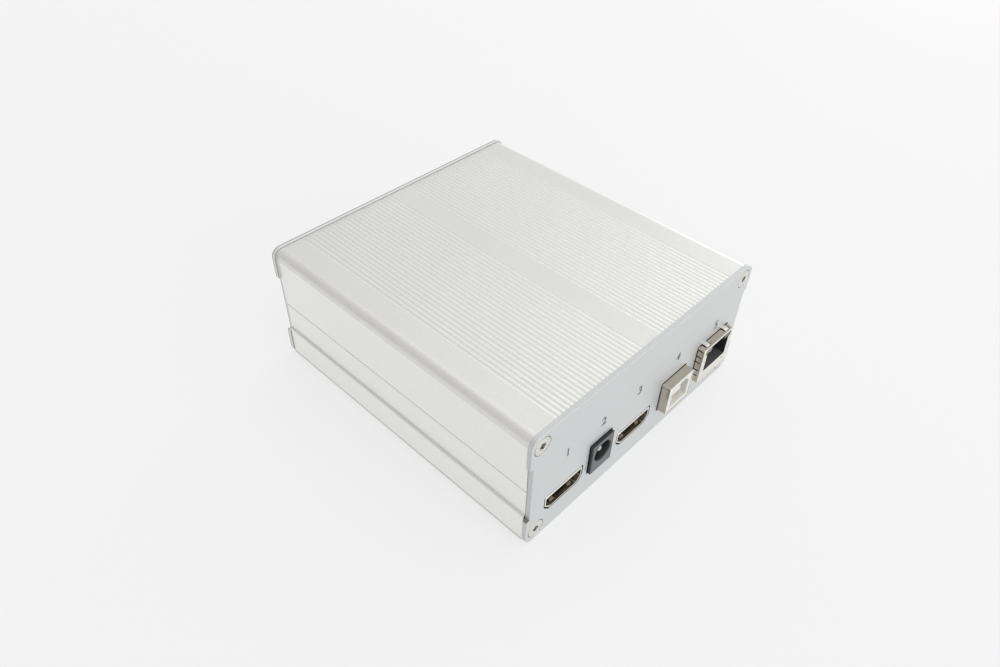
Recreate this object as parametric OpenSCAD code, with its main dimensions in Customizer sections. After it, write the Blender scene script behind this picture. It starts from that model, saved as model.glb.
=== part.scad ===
// KVM extender: an extruded aluminium box in two halves, closed by two screwed end panels.
// A circuit board slides into the lower half and carries the sockets of the front panel.
// X runs along the front panel, Y from the front to the rear, and Z up.
// The origin is at the centre of the underside.

/* [Enclosure] */
// Width of the end panels
panel_w = 98; // [96:0.5:110]
// Height of the end panels
panel_h = 42; // [40:0.5:54]
// Thickness of an end panel
panel_t = 1.6; // [1.2:0.1:2.4]
// Corner radius of an end panel
panel_r = 3; // [1.5:0.1:4]
// How far an end panel stands out past the shells at its top and sides
panel_lip = 0.3; // [0.1:0.05:0.6]
// Length of the two extruded shells
shell_l = 102; // [90:1:150]
// Thickness of the shells' side walls
wall_t = 1.6; // [1.4:0.1:2]
// Thickness of the roof and the floor
roof_t = 1.9; // [1.5:0.1:2.4]
// Radius of the shells' long outer edges
shell_r = 2.2; // [1:0.1:3]

/* [Side walls] */
// Height of the joint between the two shells
joint_z = 21; // [18:0.5:24]
// How far the walls are drawn in at the joint
waist_in = 0.7; // [0.4:0.1:1]
// How much of that inset is left at the top of the upper shell
top_in = 0.2; // [0:0.1:0.4]
// Height of the ledge below the joint
ledge_z = 11.5; // [11:0.1:13]
// Height of the notch in each side of an end panel
notch_h = 21.4; // [19:0.1:24]
// Depth of that notch
notch_d = 1.1; // [0.6:0.1:1.6]

/* [Ridged top] */
// Distance from one groove to the next
groove_pitch = 1.535; // [1.3:0.005:1.56]
// Width of a groove
groove_w = 0.95; // [0.6:0.05:1.2]
// Grooves on each side of the middle band
groove_count = 23; // [6:1:24]
// Distance from the middle to the first groove
groove_first = 4.4; // [2:0.1:6]

/* [Panel screws] */
// Distance of each screw from the panel's two nearest edges
screw_inset = 4; // [3.8:0.1:4.4]
// Diameter of the countersunk head
head_d = 5.8; // [5:0.1:6.2]
// Diameter of the shank
shank_d = 2.9; // [2.4:0.1:3]
// Length of a screw
screw_l = 10; // [6:1:14]

/* [Circuit board] */
// Height of the board's upper face
board_z = 8.7; // [8.5:0.1:9]
// Thickness of the board
board_t = 1.6; // [1:0.1:1.7]
// Gap between the board and the end panels
board_end_gap = 0.3; // [0.1:0.1:1]

/* [Socket row] */
// Share of the row's free width left of the video output
video_out_gap_share = 0.152; // [0.13:0.001:0.17]
// Share left of the power socket
power_gap_share = 0.111; // [0.09:0.001:0.13]
// Share left of the video input
video_in_gap_share = 0.156; // [0.14:0.001:0.17]
// Share left of the host port
host_gap_share = 0.201; // [0.18:0.001:0.22]
// Share left of the link socket
link_gap_share = 0.238; // [0.22:0.001:0.25]

/* [Video sockets] */
// Outer width of a video socket
video_w = 15; // [14.6:0.1:15.4]
// Outer height of a video socket
video_h = 5.6; // [5.4:0.1:6.2]
// Depth of a video socket
video_l = 11.6; // [10:0.1:14]

/* [Power socket] */
// Width of the power socket
power_w = 9; // [8.6:0.1:9.6]
// Height of the power socket
power_h = 11.2; // [10.6:0.1:12]
// Depth of the power socket
power_l = 14.2; // [13:0.1:16]
// How far the power socket stands out of the panel
power_proud = 1.05; // [0:0.05:2]
// Bore that takes the power plug
power_bore_d = 6.5; // [6:0.1:7]
// Diameter of the centre pin
power_pin_d = 2; // [1.6:0.1:2.5]

/* [Host port] */
// Width of the host port
host_w = 12; // [11.6:0.1:12.6]
// Height of the host port
host_h = 10.9; // [10.5:0.1:11.6]
// Depth of the host port
host_l = 16.2; // [15:0.1:18]
// How far the host port stands out of the panel
host_proud = 3; // [1:0.1:4]

/* [Link socket] */
// Width of the link socket
link_w = 16; // [15.6:0.1:16.2]
// Height of the link socket
link_h = 13.6; // [13.2:0.1:14.4]
// Depth of the link socket
link_l = 21.5; // [18:0.5:22]
// How far the link socket stands out of the panel
link_proud = 2.4; // [1:0.1:3.4]
// Width of the opening for the plug
link_opening_w = 12; // [11.8:0.1:12.4]
// Height of the opening for the plug
link_opening_h = 7.1; // [6.8:0.1:7.4]

/* [Reset button] */
// Place of the reset button, as a share of half the rear panel's width
reset_share = 0.408; // [0.2:0.01:0.5]
// Diameter of the button
reset_d = 3; // [2:0.1:3.6]
// How far the button stands out of the rear panel
reset_proud = 0.9; // [0.9:0.1:1.6]
// How far the button can be pressed
reset_travel = 0.8; // [0.4:0.1:0.8]

/* [Status light] */
// Place of the status light, as a share of half the rear panel's width
light_share = 0.612; // [0.6:0.01:0.72]
// Diameter of the status light
light_d = 3; // [2:0.1:5]

/* [Hidden] */
$fn = 48;

// Extra length of every cut, so that it leaves no skin behind
over = 1;
// Gap around a socket in its panel opening
cut_gap = 0.35;
// Gap between pieces that slide into or lie inside each other
fit_gap = 0.05;
// Gap around a piece that moves
move_gap = 0.3;

// The enclosure's derived sizes
front_y = -shell_l / 2 - panel_t;
rear_y = shell_l / 2 + panel_t;
low_half_w = panel_w / 2 - panel_lip;
joint_half_w = low_half_w - waist_in;
top_half_w = low_half_w - top_in;
shell_top = panel_h - panel_lip;
corner_steps = 8;

// Small forms of the shells: joint bevel, ledge rounding, inner lip, screw channels and the end groove
joint_bevel = 0.25;
ledge_r = 0.4;
ledge_steps = 4;
lip_t = 1;
lip_up = 2;
lip_down = 1.6;
channel_d = 5.2;
groove_end_d = 1.2;
groove_end_drop = 0.9;

// Board slots in the lower shell
rail_t = 0.9;
rail_grip = 1.4;
board_side_gap = 0.25;
board_w = 2 * (low_half_w - wall_t - board_side_gap);
board_l = shell_l - 2 * board_end_gap;
board_hole_d = 3.2;
board_hole_inset = 6;

// Places along the panels: the five sockets share out the width that they leave free between the rails
row_half_w = low_half_w - wall_t - rail_grip;
socket_widths = [video_w, power_w, video_w, host_w, link_w];
socket_gap_shares = [video_out_gap_share, power_gap_share, video_in_gap_share, host_gap_share, link_gap_share];
row_free_w = 2 * row_half_w - first_sum(socket_widths, len(socket_widths));
video_out_x = socket_place(0);
power_x = socket_place(1);
video_in_x = socket_place(2);
host_x = socket_place(3);
link_x = socket_place(4);
reset_x = reset_share * panel_w / 2;
light_x = light_share * panel_w / 2;

// Countersunk screw with a six-lobed recess
head_t = 1.5;
shank_hole_gap = 0.4;
lobe_d = 0.8;
lobe_ring_d = 1.9;
recess_depth = 1;

// Video socket: sheet, bevelled lower corners, tongue and contacts
video_sheet = 0.45;
video_top_lip = 0.8;
video_bevel_w = 1.9;
video_bevel_h = 1.8;
video_back = 3.6;
video_tongue_w = 11.2;
video_tongue_t = 1.2;
video_tongue_drop = 0.4;
video_tongue_setback = 1.6;
video_contact_w = 0.35;
video_contact_t = 0.12;
video_contact_pitch = 1;
video_upper_contacts = 10;
video_contact_setback = 0.6;

// Power socket: plug bore, pin and side spring
power_bore_z = 6.6;
power_bore_l = 9.4;
power_pin_setback = 1.2;
power_spring_w = 2;
power_spring_t = 0.35;
power_spring_l = 7;
power_spring_gap = 0.15;

// Host port: sheet shield, white insert, central block and four contacts
host_sheet = 0.35;
host_seam_h = 0.3;
host_seam_l = 5;
host_seam_start = 0.8;
host_insert_setback = 0.5;
host_opening_w = 8.5;
host_opening_h = 7.8;
host_opening_bevel = 1.6;
host_opening_l = 9;
host_block_w = 5.6;
host_block_h = 3.2;
host_block_setback = 1.2;
host_contact_w = 1.2;
host_contact_t = 0.2;
host_contact_l = 6;
host_contact_offset = 1.25;

// Link socket: sheet shield, housing, latch slot, lamp windows, contacts and the slits of the spring fingers
link_sheet = 0.3;
link_opening_sill = 3.9;
link_latch_w = 6.6;
link_roof = 0.6;
link_opening_l = 12;
link_setback = 0.35;
link_window_w = 3;
link_window_h = 2.1;
link_window_l = 6;
link_window_side = 0.6;
link_window_top = 0.75;
link_contact_count = 8;
link_contact_pitch = 1.02;
link_contact_w = 0.45;
link_contact_t = 0.3;
link_contact_l = 6;
link_contact_rise = 0.5;
link_slit = 0.3;
link_slit_l = 3.6;
link_slit_start = 0.7;
link_finger_w = 2.2;
link_finger_centre_share = 0.32;
link_side_slit_shares = [0.2, 0.36, 0.58, 0.74];

// Reset button with the collar that keeps it in, and the switch with a well around that collar
reset_rim = 0.8;
reset_collar_d = reset_d + 2 * reset_rim;
reset_collar_t = 0.8;
reset_collar_play = 0.35;
reset_tail = 2;
reset_pocket = 3.2;
reset_switch_wall = 0.6;
reset_switch_w = reset_collar_d + 2 * (move_gap + reset_switch_wall);
reset_switch_l = 5;
reset_axis_up = reset_switch_w / 2;

// Status light
light_axis_up = 3.2;
light_holder_w = 5.4;
light_holder_h = 5.8;
light_holder_l = 5;
light_holder_back = 1.5;
light_depth = 3.5;
light_proud = 0.4;

// Chips and other pieces on the board, with their places as shares of the board's width and length
chip_edge_r = 0.6;
main_chip_w = 23;
main_chip_t = 2.2;
main_chip_shares = [[0, 0.08]];
heat_pad_w = 20;
heat_pad_t = 0.6;
heat_sink_w = 24;
heat_sink_base = 2;
heat_sink_h = 9;
fin_t = 1;
fin_count = 8;
cooler_w = max(main_chip_w, heat_sink_w);
memory_w = 9;
memory_l = 13;
memory_t = 1.1;
memory_row_shares = [0, 0.18];
link_chip_w = 10;
link_chip_t = 1;
link_chip_shares = [[0.4, -0.07]];
transformer_w = 15;
transformer_l = 8;
transformer_t = 5;
transformer_shares = [[0.36, -0.22]];
port_chip_w = 7;
port_chip_t = 0.9;
port_chip_shares = [[0.13, -0.24]];
flash_w = 5.2;
flash_l = 6;
flash_t = 1.7;
flash_shares = [[0.24, 0.34]];
inductor_w = 7;
inductor_t = 4;
inductor_r = 1.5;
inductor_shares = [[-0.36, -0.27], [-0.26, -0.27]];
capacitor_d = 6.3;
capacitor_h = 7.6;
capacitor_base_h = 0.8;
capacitor_base_w = 6.6;
capacitor_shares = [[-0.38, -0.13], [-0.29, -0.13], [-0.2, -0.13]];
regulator_w = 6.4;
regulator_l = 6;
regulator_t = 2.2;
regulator_tab_w = 5;
regulator_tab_l = 1.2;
regulator_tab_t = 0.5;
regulator_shares = [[-0.37, 0.02], [-0.26, 0.02]];
crystal_w = 5;
crystal_l = 3.2;
crystal_t = 1.1;
crystal_shares = [[-0.18, 0.26], [0.4, 0.06]];
ceramic_w = 0.8;
ceramic_l = 1.6;
ceramic_t = 0.8;
ceramic_pitch = 2.4;
ceramic_count = 10;
ceramic_row_gap = 2;

// Colours seen on the object
shell_colour = "#d9d9d3";
panel_colour = "#cbd0d1";
screw_colour = "#b9b6a9";
nickel_colour = "#c8c0ac";
board_colour = "#1f6b3a";
black_colour = "#2a2c30";
white_colour = "#f1efe6";
gold_colour = "#c9a24a";
chip_colour = "#26272a";
clear_colour = "#d9d4d0";
green_colour = "#8fb59a";

// Points along an arc about a centre
function arc_points(centre, radius, from, to, steps) =
    [for (i = [0:steps]) let (a = from + (to - from) * i / steps) centre + radius * [cos(a), sin(a)]];

// The same points on the other side of the middle, in reverse order
function mirrored(points) = [for (i = [len(points) - 1:-1:0]) [-points[i][0], points[i][1]]];

// Sum of a list's first numbers
function first_sum(list, count) = count == 0 ? 0 : list[count - 1] + first_sum(list, count - 1);

// Middle of one socket of the front row
function socket_place(i) =
    row_free_w * first_sum(socket_gap_shares, i + 1) + first_sum(socket_widths, i) + socket_widths[i] / 2 - row_half_w;

// Places on the board's upper face, from shares of its width and length
function board_places(shares) = [for (s = shares) [s[0] * board_w, s[1] * board_l, board_z]];

// Extrudes a front-view outline towards the rear, starting at one depth
module run_back(from, length) {
    translate([0, from + length, 0])
        rotate([90, 0, 0])
            linear_extrude(height = length)
                children();
}

// The children and their mirror image across the middle
module both_sides() {
    children();
    mirror([1, 0, 0]) children();
}

// Rectangle about its centre with round corners
module rounded_rect(w, h, r) {
    square([w - 2 * r, h], center = true);
    square([w, h - 2 * r], center = true);
    for (x = [-1, 1], y = [-1, 1])
        translate([x * (w / 2 - r), y * (h / 2 - r)]) circle(r = r);
}

// Flat block with round corners, standing on the board
module chip_block(w, l, t, r) {
    linear_extrude(height = t) rounded_rect(w, l, r);
}

// The four screw places in a panel
module at_screws() {
    for (x = [-1, 1], z = [screw_inset, panel_h - screw_inset])
        translate([x * (panel_w / 2 - screw_inset), z]) children();
}

// Upper shell: the outline rises from the joint, leans out a little and turns over the rounded edges
module upper_shell_profile() {
    outline = concat(
        [[joint_half_w - joint_bevel, joint_z], [joint_half_w, joint_z + joint_bevel]],
        arc_points([top_half_w - shell_r, shell_top - shell_r], shell_r, 0, 90, corner_steps));
    cavity = [[joint_half_w - wall_t, joint_z - over], [top_half_w - wall_t, shell_top - roof_t]];
    difference() {
        polygon(concat(outline, mirrored(outline)));
        difference() {
            polygon(concat(cavity, mirrored(cavity)));
            screw_channels(panel_h - screw_inset);
        }
        screw_channel_holes(panel_h - screw_inset);
        both_sides()
            for (i = [0:groove_count - 1])
                translate([groove_first + i * groove_pitch, shell_top]) circle(d = groove_w, $fn = 24);
    }
}

module upper_shell() {
    color(shell_colour) run_back(-shell_l / 2, shell_l) upper_shell_profile();
}

// Lower shell: rounded bottom edges, straight sides up to the ledge, then the drawn-in wall
// A lip thickens the wall below the joint and stands up from it behind the upper shell's wall
module lower_shell_profile() {
    lip_outer = joint_half_w - wall_t - fit_gap;
    lip_inner = joint_half_w - wall_t - lip_t;
    outline = concat(
        arc_points([low_half_w - shell_r, shell_r], shell_r, -90, 0, corner_steps),
        arc_points([low_half_w - ledge_r, ledge_z - ledge_r], ledge_r, 0, 90, ledge_steps),
        [
            [joint_half_w, ledge_z], [joint_half_w, joint_z - joint_bevel], [joint_half_w - joint_bevel, joint_z],
            [lip_outer, joint_z], [lip_outer, joint_z + lip_up]]);
    cavity = [
        [low_half_w - wall_t, roof_t], [low_half_w - wall_t, ledge_z - wall_t],
        [joint_half_w - wall_t, ledge_z], [joint_half_w - wall_t, joint_z - lip_down],
        [lip_inner, joint_z - lip_down], [lip_inner, joint_z + lip_up + over]];
    difference() {
        polygon(concat(outline, mirrored(outline)));
        difference() {
            polygon(concat(cavity, mirrored(cavity)));
            screw_channels(screw_inset);
            both_sides() board_rails();
        }
        screw_channel_holes(screw_inset);
        both_sides()
            translate([joint_half_w - joint_bevel, ledge_z - groove_end_drop]) circle(d = groove_end_d, $fn = 24);
    }
}

// The two rails that hold one long edge of the board
module board_rails() {
    rail_x = low_half_w - wall_t - rail_grip;
    for (z = [board_z - board_t - fit_gap - rail_t, board_z + fit_gap])
        translate([rail_x, z]) square([rail_grip + wall_t / 2, rail_t]);
}

module screw_channels(z) {
    both_sides() translate([panel_w / 2 - screw_inset, z]) circle(d = channel_d);
}

module screw_channel_holes(z) {
    both_sides() translate([panel_w / 2 - screw_inset, z]) circle(d = shank_d + 2 * fit_gap);
}

module lower_shell() {
    color(shell_colour) run_back(-shell_l / 2, shell_l) lower_shell_profile();
}

// End panel outline, with the notch in each side and the four screw holes
module panel_outline() {
    difference() {
        translate([0, panel_h / 2]) rounded_rect(panel_w, panel_h, panel_r);
        both_sides()
            translate([panel_w / 2 - notch_d, (panel_h - notch_h) / 2]) square([notch_d + over, notch_h]);
        at_screws() circle(d = shank_d + shank_hole_gap);
    }
}

// Conical seats for the screw heads, opening towards the front
module countersinks() {
    rotate([90, 0, 0])
        translate([0, 0, -head_t - fit_gap])
            at_screws() cylinder(h = head_t + fit_gap, d1 = shank_d, d2 = head_d + 2 * fit_gap);
}

// Outline of a video socket, grown on all sides, about the middle of its lower edge
module video_outline(grow) {
    half_w = video_w / 2 + grow;
    polygon([
        [-half_w + video_bevel_w, -grow], [half_w - video_bevel_w, -grow], [half_w, video_bevel_h - grow / 2],
        [half_w, video_h + grow], [-half_w, video_h + grow], [-half_w, video_bevel_h - grow / 2]]);
}

// Opening for a socket that stands on the board
module socket_cut(x, w, h) {
    translate([x - w / 2 - cut_gap, board_z - cut_gap]) square([w + 2 * cut_gap, h + 2 * cut_gap]);
}

module front_panel() {
    color(panel_colour)
        difference() {
            run_back(front_y, panel_t)
                difference() {
                    panel_outline();
                    for (x = [video_out_x, video_in_x]) translate([x, board_z]) video_outline(cut_gap);
                    socket_cut(power_x, power_w, power_h);
                    socket_cut(host_x, host_w, host_h);
                    socket_cut(link_x, link_w, link_h);
                }
            translate([0, front_y, 0]) countersinks();
        }
}

// Rear panel, with the holes for the reset button and the status light
module rear_panel() {
    color(panel_colour)
        difference() {
            run_back(rear_y - panel_t, panel_t)
                difference() {
                    panel_outline();
                    translate([reset_x, board_z + reset_axis_up]) circle(d = reset_d + 2 * move_gap);
                    translate([light_x, board_z + light_axis_up]) circle(d = light_d + 2 * fit_gap);
                }
            translate([0, rear_y, 0]) mirror([0, 1, 0]) countersinks();
        }
}

// Countersunk screw, pointing to the rear, with its head's face at the origin
module panel_screw() {
    rotate([90, 0, 0])
        difference() {
            union() {
                translate([0, 0, -head_t]) cylinder(h = head_t, d1 = shank_d, d2 = head_d);
                translate([0, 0, -screw_l]) cylinder(h = screw_l - head_t, d = shank_d);
            }
            translate([0, 0, -recess_depth])
                linear_extrude(height = recess_depth + over) {
                    circle(d = lobe_ring_d, $fn = 24);
                    for (a = [0:60:300]) rotate(a) translate([lobe_ring_d / 2, 0]) circle(d = lobe_d, $fn = 16);
                }
        }
}

module screw_set() {
    for (x = [-1, 1], z = [screw_inset, panel_h - screw_inset])
        translate([x * (panel_w / 2 - screw_inset), 0, z]) panel_screw();
}

module front_screws() {
    color(screw_colour) translate([0, front_y, 0]) screw_set();
}

module rear_screws() {
    color(screw_colour) translate([0, rear_y, 0]) mirror([0, 1, 0]) screw_set();
}

// Circuit board with a tooling hole near each corner
module main_board() {
    color(board_colour)
        translate([0, 0, board_z - board_t])
            linear_extrude(height = board_t)
                difference() {
                    square([board_w, board_l], center = true);
                    for (x = [-1, 1], y = [-1, 1])
                        translate([x * (board_w / 2 - board_hole_inset), y * (board_l / 2 - board_hole_inset)])
                            circle(d = board_hole_d);
                }
}

// Video socket shell: folded sheet, thicker over the opening and closed at the back
module video_shell(x) {
    color(nickel_colour)
        translate([x, 0, board_z])
            difference() {
                run_back(front_y, video_l) video_outline(0);
                run_back(front_y - over, video_l - video_sheet + over) video_cavity();
            }
}

// The space inside the shell
module video_cavity() {
    half_w = video_w / 2 - video_sheet;
    top_z = video_h - video_top_lip;
    polygon([
        [-half_w + video_bevel_w, video_sheet], [half_w - video_bevel_w, video_sheet],
        [half_w, video_bevel_h + video_sheet / 2], [half_w, top_z],
        [-half_w, top_z], [-half_w, video_bevel_h + video_sheet / 2]]);
}

// Middle height of the tongue, a little above the middle of the cavity
function video_tongue_z() = (video_h - video_top_lip + video_sheet) / 2 + video_tongue_drop;

// Black insert: a block that fills the back of the shell and a thin tongue towards the plug
module video_insert(x) {
    back_y = front_y + video_l - video_sheet - video_back;
    tongue_y = front_y + video_tongue_setback;
    color(black_colour)
        translate([x, 0, board_z]) {
            run_back(back_y, video_back) video_cavity();
            translate([-video_tongue_w / 2, tongue_y, video_tongue_z() - video_tongue_t / 2])
                cube([video_tongue_w, back_y - tongue_y, video_tongue_t]);
        }
}

// Flat contacts on both faces of the tongue, the lower row set between the upper ones
module video_contacts(x) {
    back_y = front_y + video_l - video_sheet - video_back;
    start_y = front_y + video_tongue_setback + video_contact_setback;
    color(gold_colour)
        translate([x, start_y, board_z + video_tongue_z()])
            for (row = [0, 1], i = [0:video_upper_contacts - 1 - row])
                translate([
                    (i - (video_upper_contacts - 1 - row) / 2) * video_contact_pitch - video_contact_w / 2,
                    0,
                    row == 0 ? video_tongue_t / 2 : -video_tongue_t / 2 - video_contact_t])
                    cube([video_contact_w, back_y - start_y, video_contact_t]);
}

module video_out_shell() {
    video_shell(video_out_x);
}

module video_out_insert() {
    video_insert(video_out_x);
}

module video_out_contacts() {
    video_contacts(video_out_x);
}

module video_in_shell() {
    video_shell(video_in_x);
}

module video_in_insert() {
    video_insert(video_in_x);
}

module video_in_contacts() {
    video_contacts(video_in_x);
}

// Power socket: moulded block with the plug bore
module power_socket_body() {
    color(black_colour)
        translate([power_x, front_y - power_proud, board_z])
            difference() {
                translate([-power_w / 2, 0, 0]) cube([power_w, power_l, power_h]);
                translate([0, -over, power_bore_z])
                    rotate([-90, 0, 0]) cylinder(h = power_bore_l + over, d = power_bore_d);
            }
}

// Centre pin with a rounded tip, standing on the back of the bore
module power_socket_pin() {
    tip_y = front_y - power_proud + power_pin_setback + power_pin_d / 2;
    color(nickel_colour)
        translate([power_x, tip_y, board_z + power_bore_z]) {
            rotate([-90, 0, 0])
                cylinder(h = power_bore_l - power_pin_setback - power_pin_d / 2, d = power_pin_d);
            sphere(d = power_pin_d);
        }
}

// Flat spring along the side of the bore
module power_socket_spring() {
    outer_x = sqrt(pow(power_bore_d / 2, 2) - pow(power_spring_w / 2, 2)) - power_spring_gap;
    back_y = front_y - power_proud + power_bore_l;
    color(nickel_colour)
        translate([power_x - outer_x, back_y - power_spring_l, board_z + power_bore_z - power_spring_w / 2])
            cube([power_spring_t, power_spring_l, power_spring_w]);
}

// Host port shield: folded sheet around the insert, with an open seam below the roof's left edge
module host_port_shield() {
    color(nickel_colour)
        translate([host_x, front_y - host_proud, board_z])
            difference() {
                translate([-host_w / 2, 0, 0]) cube([host_w, host_l, host_h]);
                translate([-host_w / 2 + host_sheet, -over, host_sheet])
                    cube([host_w - 2 * host_sheet, host_l - host_sheet + over, host_h - 2 * host_sheet]);
                translate([-host_w / 2 - over, host_seam_start, host_h - host_sheet - host_seam_h])
                    cube([host_sheet + over, host_seam_l, host_seam_h]);
            }
}

// Square plug opening with its two upper corners bevelled, about its centre
module host_opening() {
    half_w = host_opening_w / 2;
    half_h = host_opening_h / 2;
    polygon([
        [-half_w, -half_h], [half_w, -half_h], [half_w, half_h - host_opening_bevel],
        [half_w - host_opening_bevel, half_h], [host_opening_bevel - half_w, half_h],
        [-half_w, half_h - host_opening_bevel]]);
}

// White insert with the plug opening and its central block
module host_port_insert() {
    inner_w = host_w - 2 * host_sheet;
    inner_h = host_h - 2 * host_sheet;
    insert_y = front_y - host_proud + host_insert_setback;
    insert_l = host_l - host_sheet - host_insert_setback;
    color(white_colour)
        translate([host_x, 0, board_z + host_h / 2]) {
            difference() {
                run_back(insert_y, insert_l) square([inner_w, inner_h], center = true);
                run_back(insert_y - over, host_opening_l + over) host_opening();
            }
            run_back(insert_y + host_block_setback, host_opening_l - host_block_setback)
                square([host_block_w, host_block_h], center = true);
        }
}

// Two contacts above and two below the central block
module host_port_contacts() {
    back_y = front_y - host_proud + host_insert_setback + host_opening_l;
    color(gold_colour)
        translate([host_x, back_y - host_contact_l, board_z + host_h / 2])
            for (x = [-1, 1], z = [-1, 1])
                translate([
                    x * host_contact_offset - host_contact_w / 2, 0,
                    z * (host_block_h + host_contact_t) / 2 - host_contact_t / 2])
                    cube([host_contact_w, host_contact_l, host_contact_t]);
}

// Front view of the link socket's plug opening with the latch slot above it
module link_opening(grow) {
    latch_top = link_h - link_roof + grow;
    translate([-link_opening_w / 2 - grow, link_opening_sill - grow])
        square([link_opening_w + 2 * grow, link_opening_h + 2 * grow]);
    translate([-link_latch_w / 2 - grow, link_opening_sill])
        square([link_latch_w + 2 * grow, latch_top - link_opening_sill]);
}

// Front view of one lamp window
module link_window(side, grow) {
    centre = [
        side * (link_w / 2 - link_window_side - link_window_w / 2),
        link_h - link_window_top - link_window_h / 2];
    translate(centre) square([link_window_w + 2 * grow, link_window_h + 2 * grow], center = true);
}

// Link socket shield: folded sheet with slits that free the spring fingers on its roof and sides
module link_socket_shield() {
    slit_y = link_slit_start;
    color(nickel_colour)
        translate([link_x, front_y - link_proud, board_z])
            difference() {
                translate([-link_w / 2, 0, 0]) cube([link_w, link_l, link_h]);
                translate([-link_w / 2 + link_sheet, link_sheet, -over])
                    cube([link_w - 2 * link_sheet, link_l - 2 * link_sheet, link_h - link_sheet + over]);
                run_back(-over, 2 * over) {
                    link_opening(0);
                    link_window(-1, 0);
                    link_window(1, 0);
                }
                for (side = [-1, 1], edge = [-1, 1])
                    translate([
                        side * link_finger_centre_share * link_w + edge * link_finger_w / 2 - link_slit / 2,
                        slit_y, link_h - over])
                        cube([link_slit, link_slit_l, 2 * over]);
                for (side = [-1, 1], share = link_side_slit_shares)
                    translate([side * link_w / 2 - over, slit_y, share * link_h])
                        cube([2 * over, link_slit_l, link_slit]);
            }
}

// Black housing inside the shield
module link_socket_housing() {
    inner_w = link_w - 2 * link_sheet;
    inner_l = link_l - 2 * link_sheet;
    color(black_colour)
        translate([link_x, front_y - link_proud + link_sheet, board_z])
            difference() {
                translate([-inner_w / 2, 0, 0]) cube([inner_w, inner_l, link_h - link_sheet]);
                run_back(-over, link_opening_l + over) link_opening(0);
                run_back(-over, link_window_l + over) {
                    link_window(-1, fit_gap);
                    link_window(1, fit_gap);
                }
            }
}

// Eight spring contacts lying on the floor of the plug opening
module link_socket_contacts() {
    back_y = front_y - link_proud + link_sheet + link_opening_l;
    color(gold_colour)
        translate([link_x, back_y - link_contact_l, board_z + link_opening_sill])
            for (i = [0:link_contact_count - 1])
                translate([(i - (link_contact_count - 1) / 2) * link_contact_pitch - link_contact_w / 2, 0, 0]) {
                    cube([link_contact_w, link_contact_l, link_contact_t]);
                    cube([link_contact_w, link_contact_t, link_contact_t + link_contact_rise]);
                }
}

// Light guide behind one lamp window
module link_lamp(side) {
    translate([link_x, front_y - link_proud, board_z])
        run_back(0, link_window_l + link_sheet) link_window(side, 0);
}

module link_left_window() {
    color(clear_colour) link_lamp(-1);
}

module link_right_window() {
    color(green_colour) link_lamp(1);
}

// Floor of the switch's well, far enough from the panel for the collar and the travel
function reset_well_y() = rear_y - panel_t - reset_collar_play - reset_collar_t - reset_travel - move_gap;

// Reset switch on the board: a well for the button's collar and a narrower pocket for its tail
module reset_switch() {
    back_y = reset_well_y() - reset_switch_l;
    mouth_y = rear_y - panel_t - move_gap;
    color(black_colour)
        translate([reset_x, 0, board_z])
            difference() {
                translate([-reset_switch_w / 2, back_y, 0])
                    cube([reset_switch_w, mouth_y - back_y, reset_switch_w]);
                translate([0, reset_well_y() - reset_pocket, reset_axis_up])
                    rotate([-90, 0, 0]) cylinder(h = reset_pocket + over, d = reset_d + 2 * move_gap);
                translate([0, reset_well_y(), reset_axis_up])
                    rotate([-90, 0, 0])
                        cylinder(h = mouth_y - reset_well_y() + over, d = reset_collar_d + 2 * move_gap);
            }
}

// Button with the collar that keeps it behind the rear panel
module reset_button() {
    start_y = reset_well_y() - reset_tail;
    collar_y = rear_y - panel_t - reset_collar_play - reset_collar_t;
    color(black_colour)
        translate([reset_x, 0, board_z + reset_axis_up]) {
            translate([0, start_y, 0])
                rotate([-90, 0, 0]) cylinder(h = rear_y + reset_proud - start_y, d = reset_d);
            translate([0, collar_y, 0])
                rotate([-90, 0, 0]) cylinder(h = reset_collar_t, d = reset_collar_d);
        }
}

// Holder that keeps the status light at the height of its hole
module status_light_holder() {
    color(black_colour)
        translate([light_x, rear_y - panel_t - light_holder_back - light_holder_l, board_z])
            difference() {
                translate([-light_holder_w / 2, 0, 0]) cube([light_holder_w, light_holder_l, light_holder_h]);
                translate([0, light_holder_l - light_depth, light_axis_up])
                    rotate([-90, 0, 0]) cylinder(h = light_depth + over, d = light_d + 2 * fit_gap);
            }
}

// Clear light guide with a rounded end outside the panel
module status_light() {
    start_y = rear_y - panel_t - light_holder_back - light_depth;
    end_y = rear_y + light_proud - light_d / 2;
    color(green_colour)
        translate([light_x, 0, board_z + light_axis_up]) {
            translate([0, start_y, 0]) rotate([-90, 0, 0]) cylinder(h = end_y - start_y, d = light_d);
            translate([0, end_y, 0]) sphere(d = light_d);
        }
}

module main_chip() {
    color(chip_colour)
        for (p = board_places(main_chip_shares))
            translate(p) chip_block(main_chip_w, main_chip_w, main_chip_t, chip_edge_r);
}

// Soft pad between the main chip and its heat sink
module heat_pad() {
    color("#b8c4cf")
        for (p = board_places(main_chip_shares))
            translate(p + [0, 0, main_chip_t]) chip_block(heat_pad_w, heat_pad_w, heat_pad_t, chip_edge_r);
}

// Heat sink: a base plate and a row of fins along Y
module heat_sink() {
    fin_step = (heat_sink_w - fin_t) / (fin_count - 1);
    color("#a9acae")
        for (p = board_places(main_chip_shares))
            translate(p + [-heat_sink_w / 2, -heat_sink_w / 2, main_chip_t + heat_pad_t]) {
                cube([heat_sink_w, heat_sink_w, heat_sink_base]);
                for (i = [0:fin_count - 1])
                    translate([i * fin_step, 0, 0]) cube([fin_t, heat_sink_w, heat_sink_h]);
            }
}

// Memory chips in a row beside the main chip's capacitors
module memory_chips() {
    memory_x = cooler_w / 2 + 2 * ceramic_row_gap + memory_w / 2;
    color(chip_colour)
        for (share = memory_row_shares)
            translate([memory_x, share * board_l, board_z])
                chip_block(memory_w, memory_l, memory_t, chip_edge_r);
}

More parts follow.
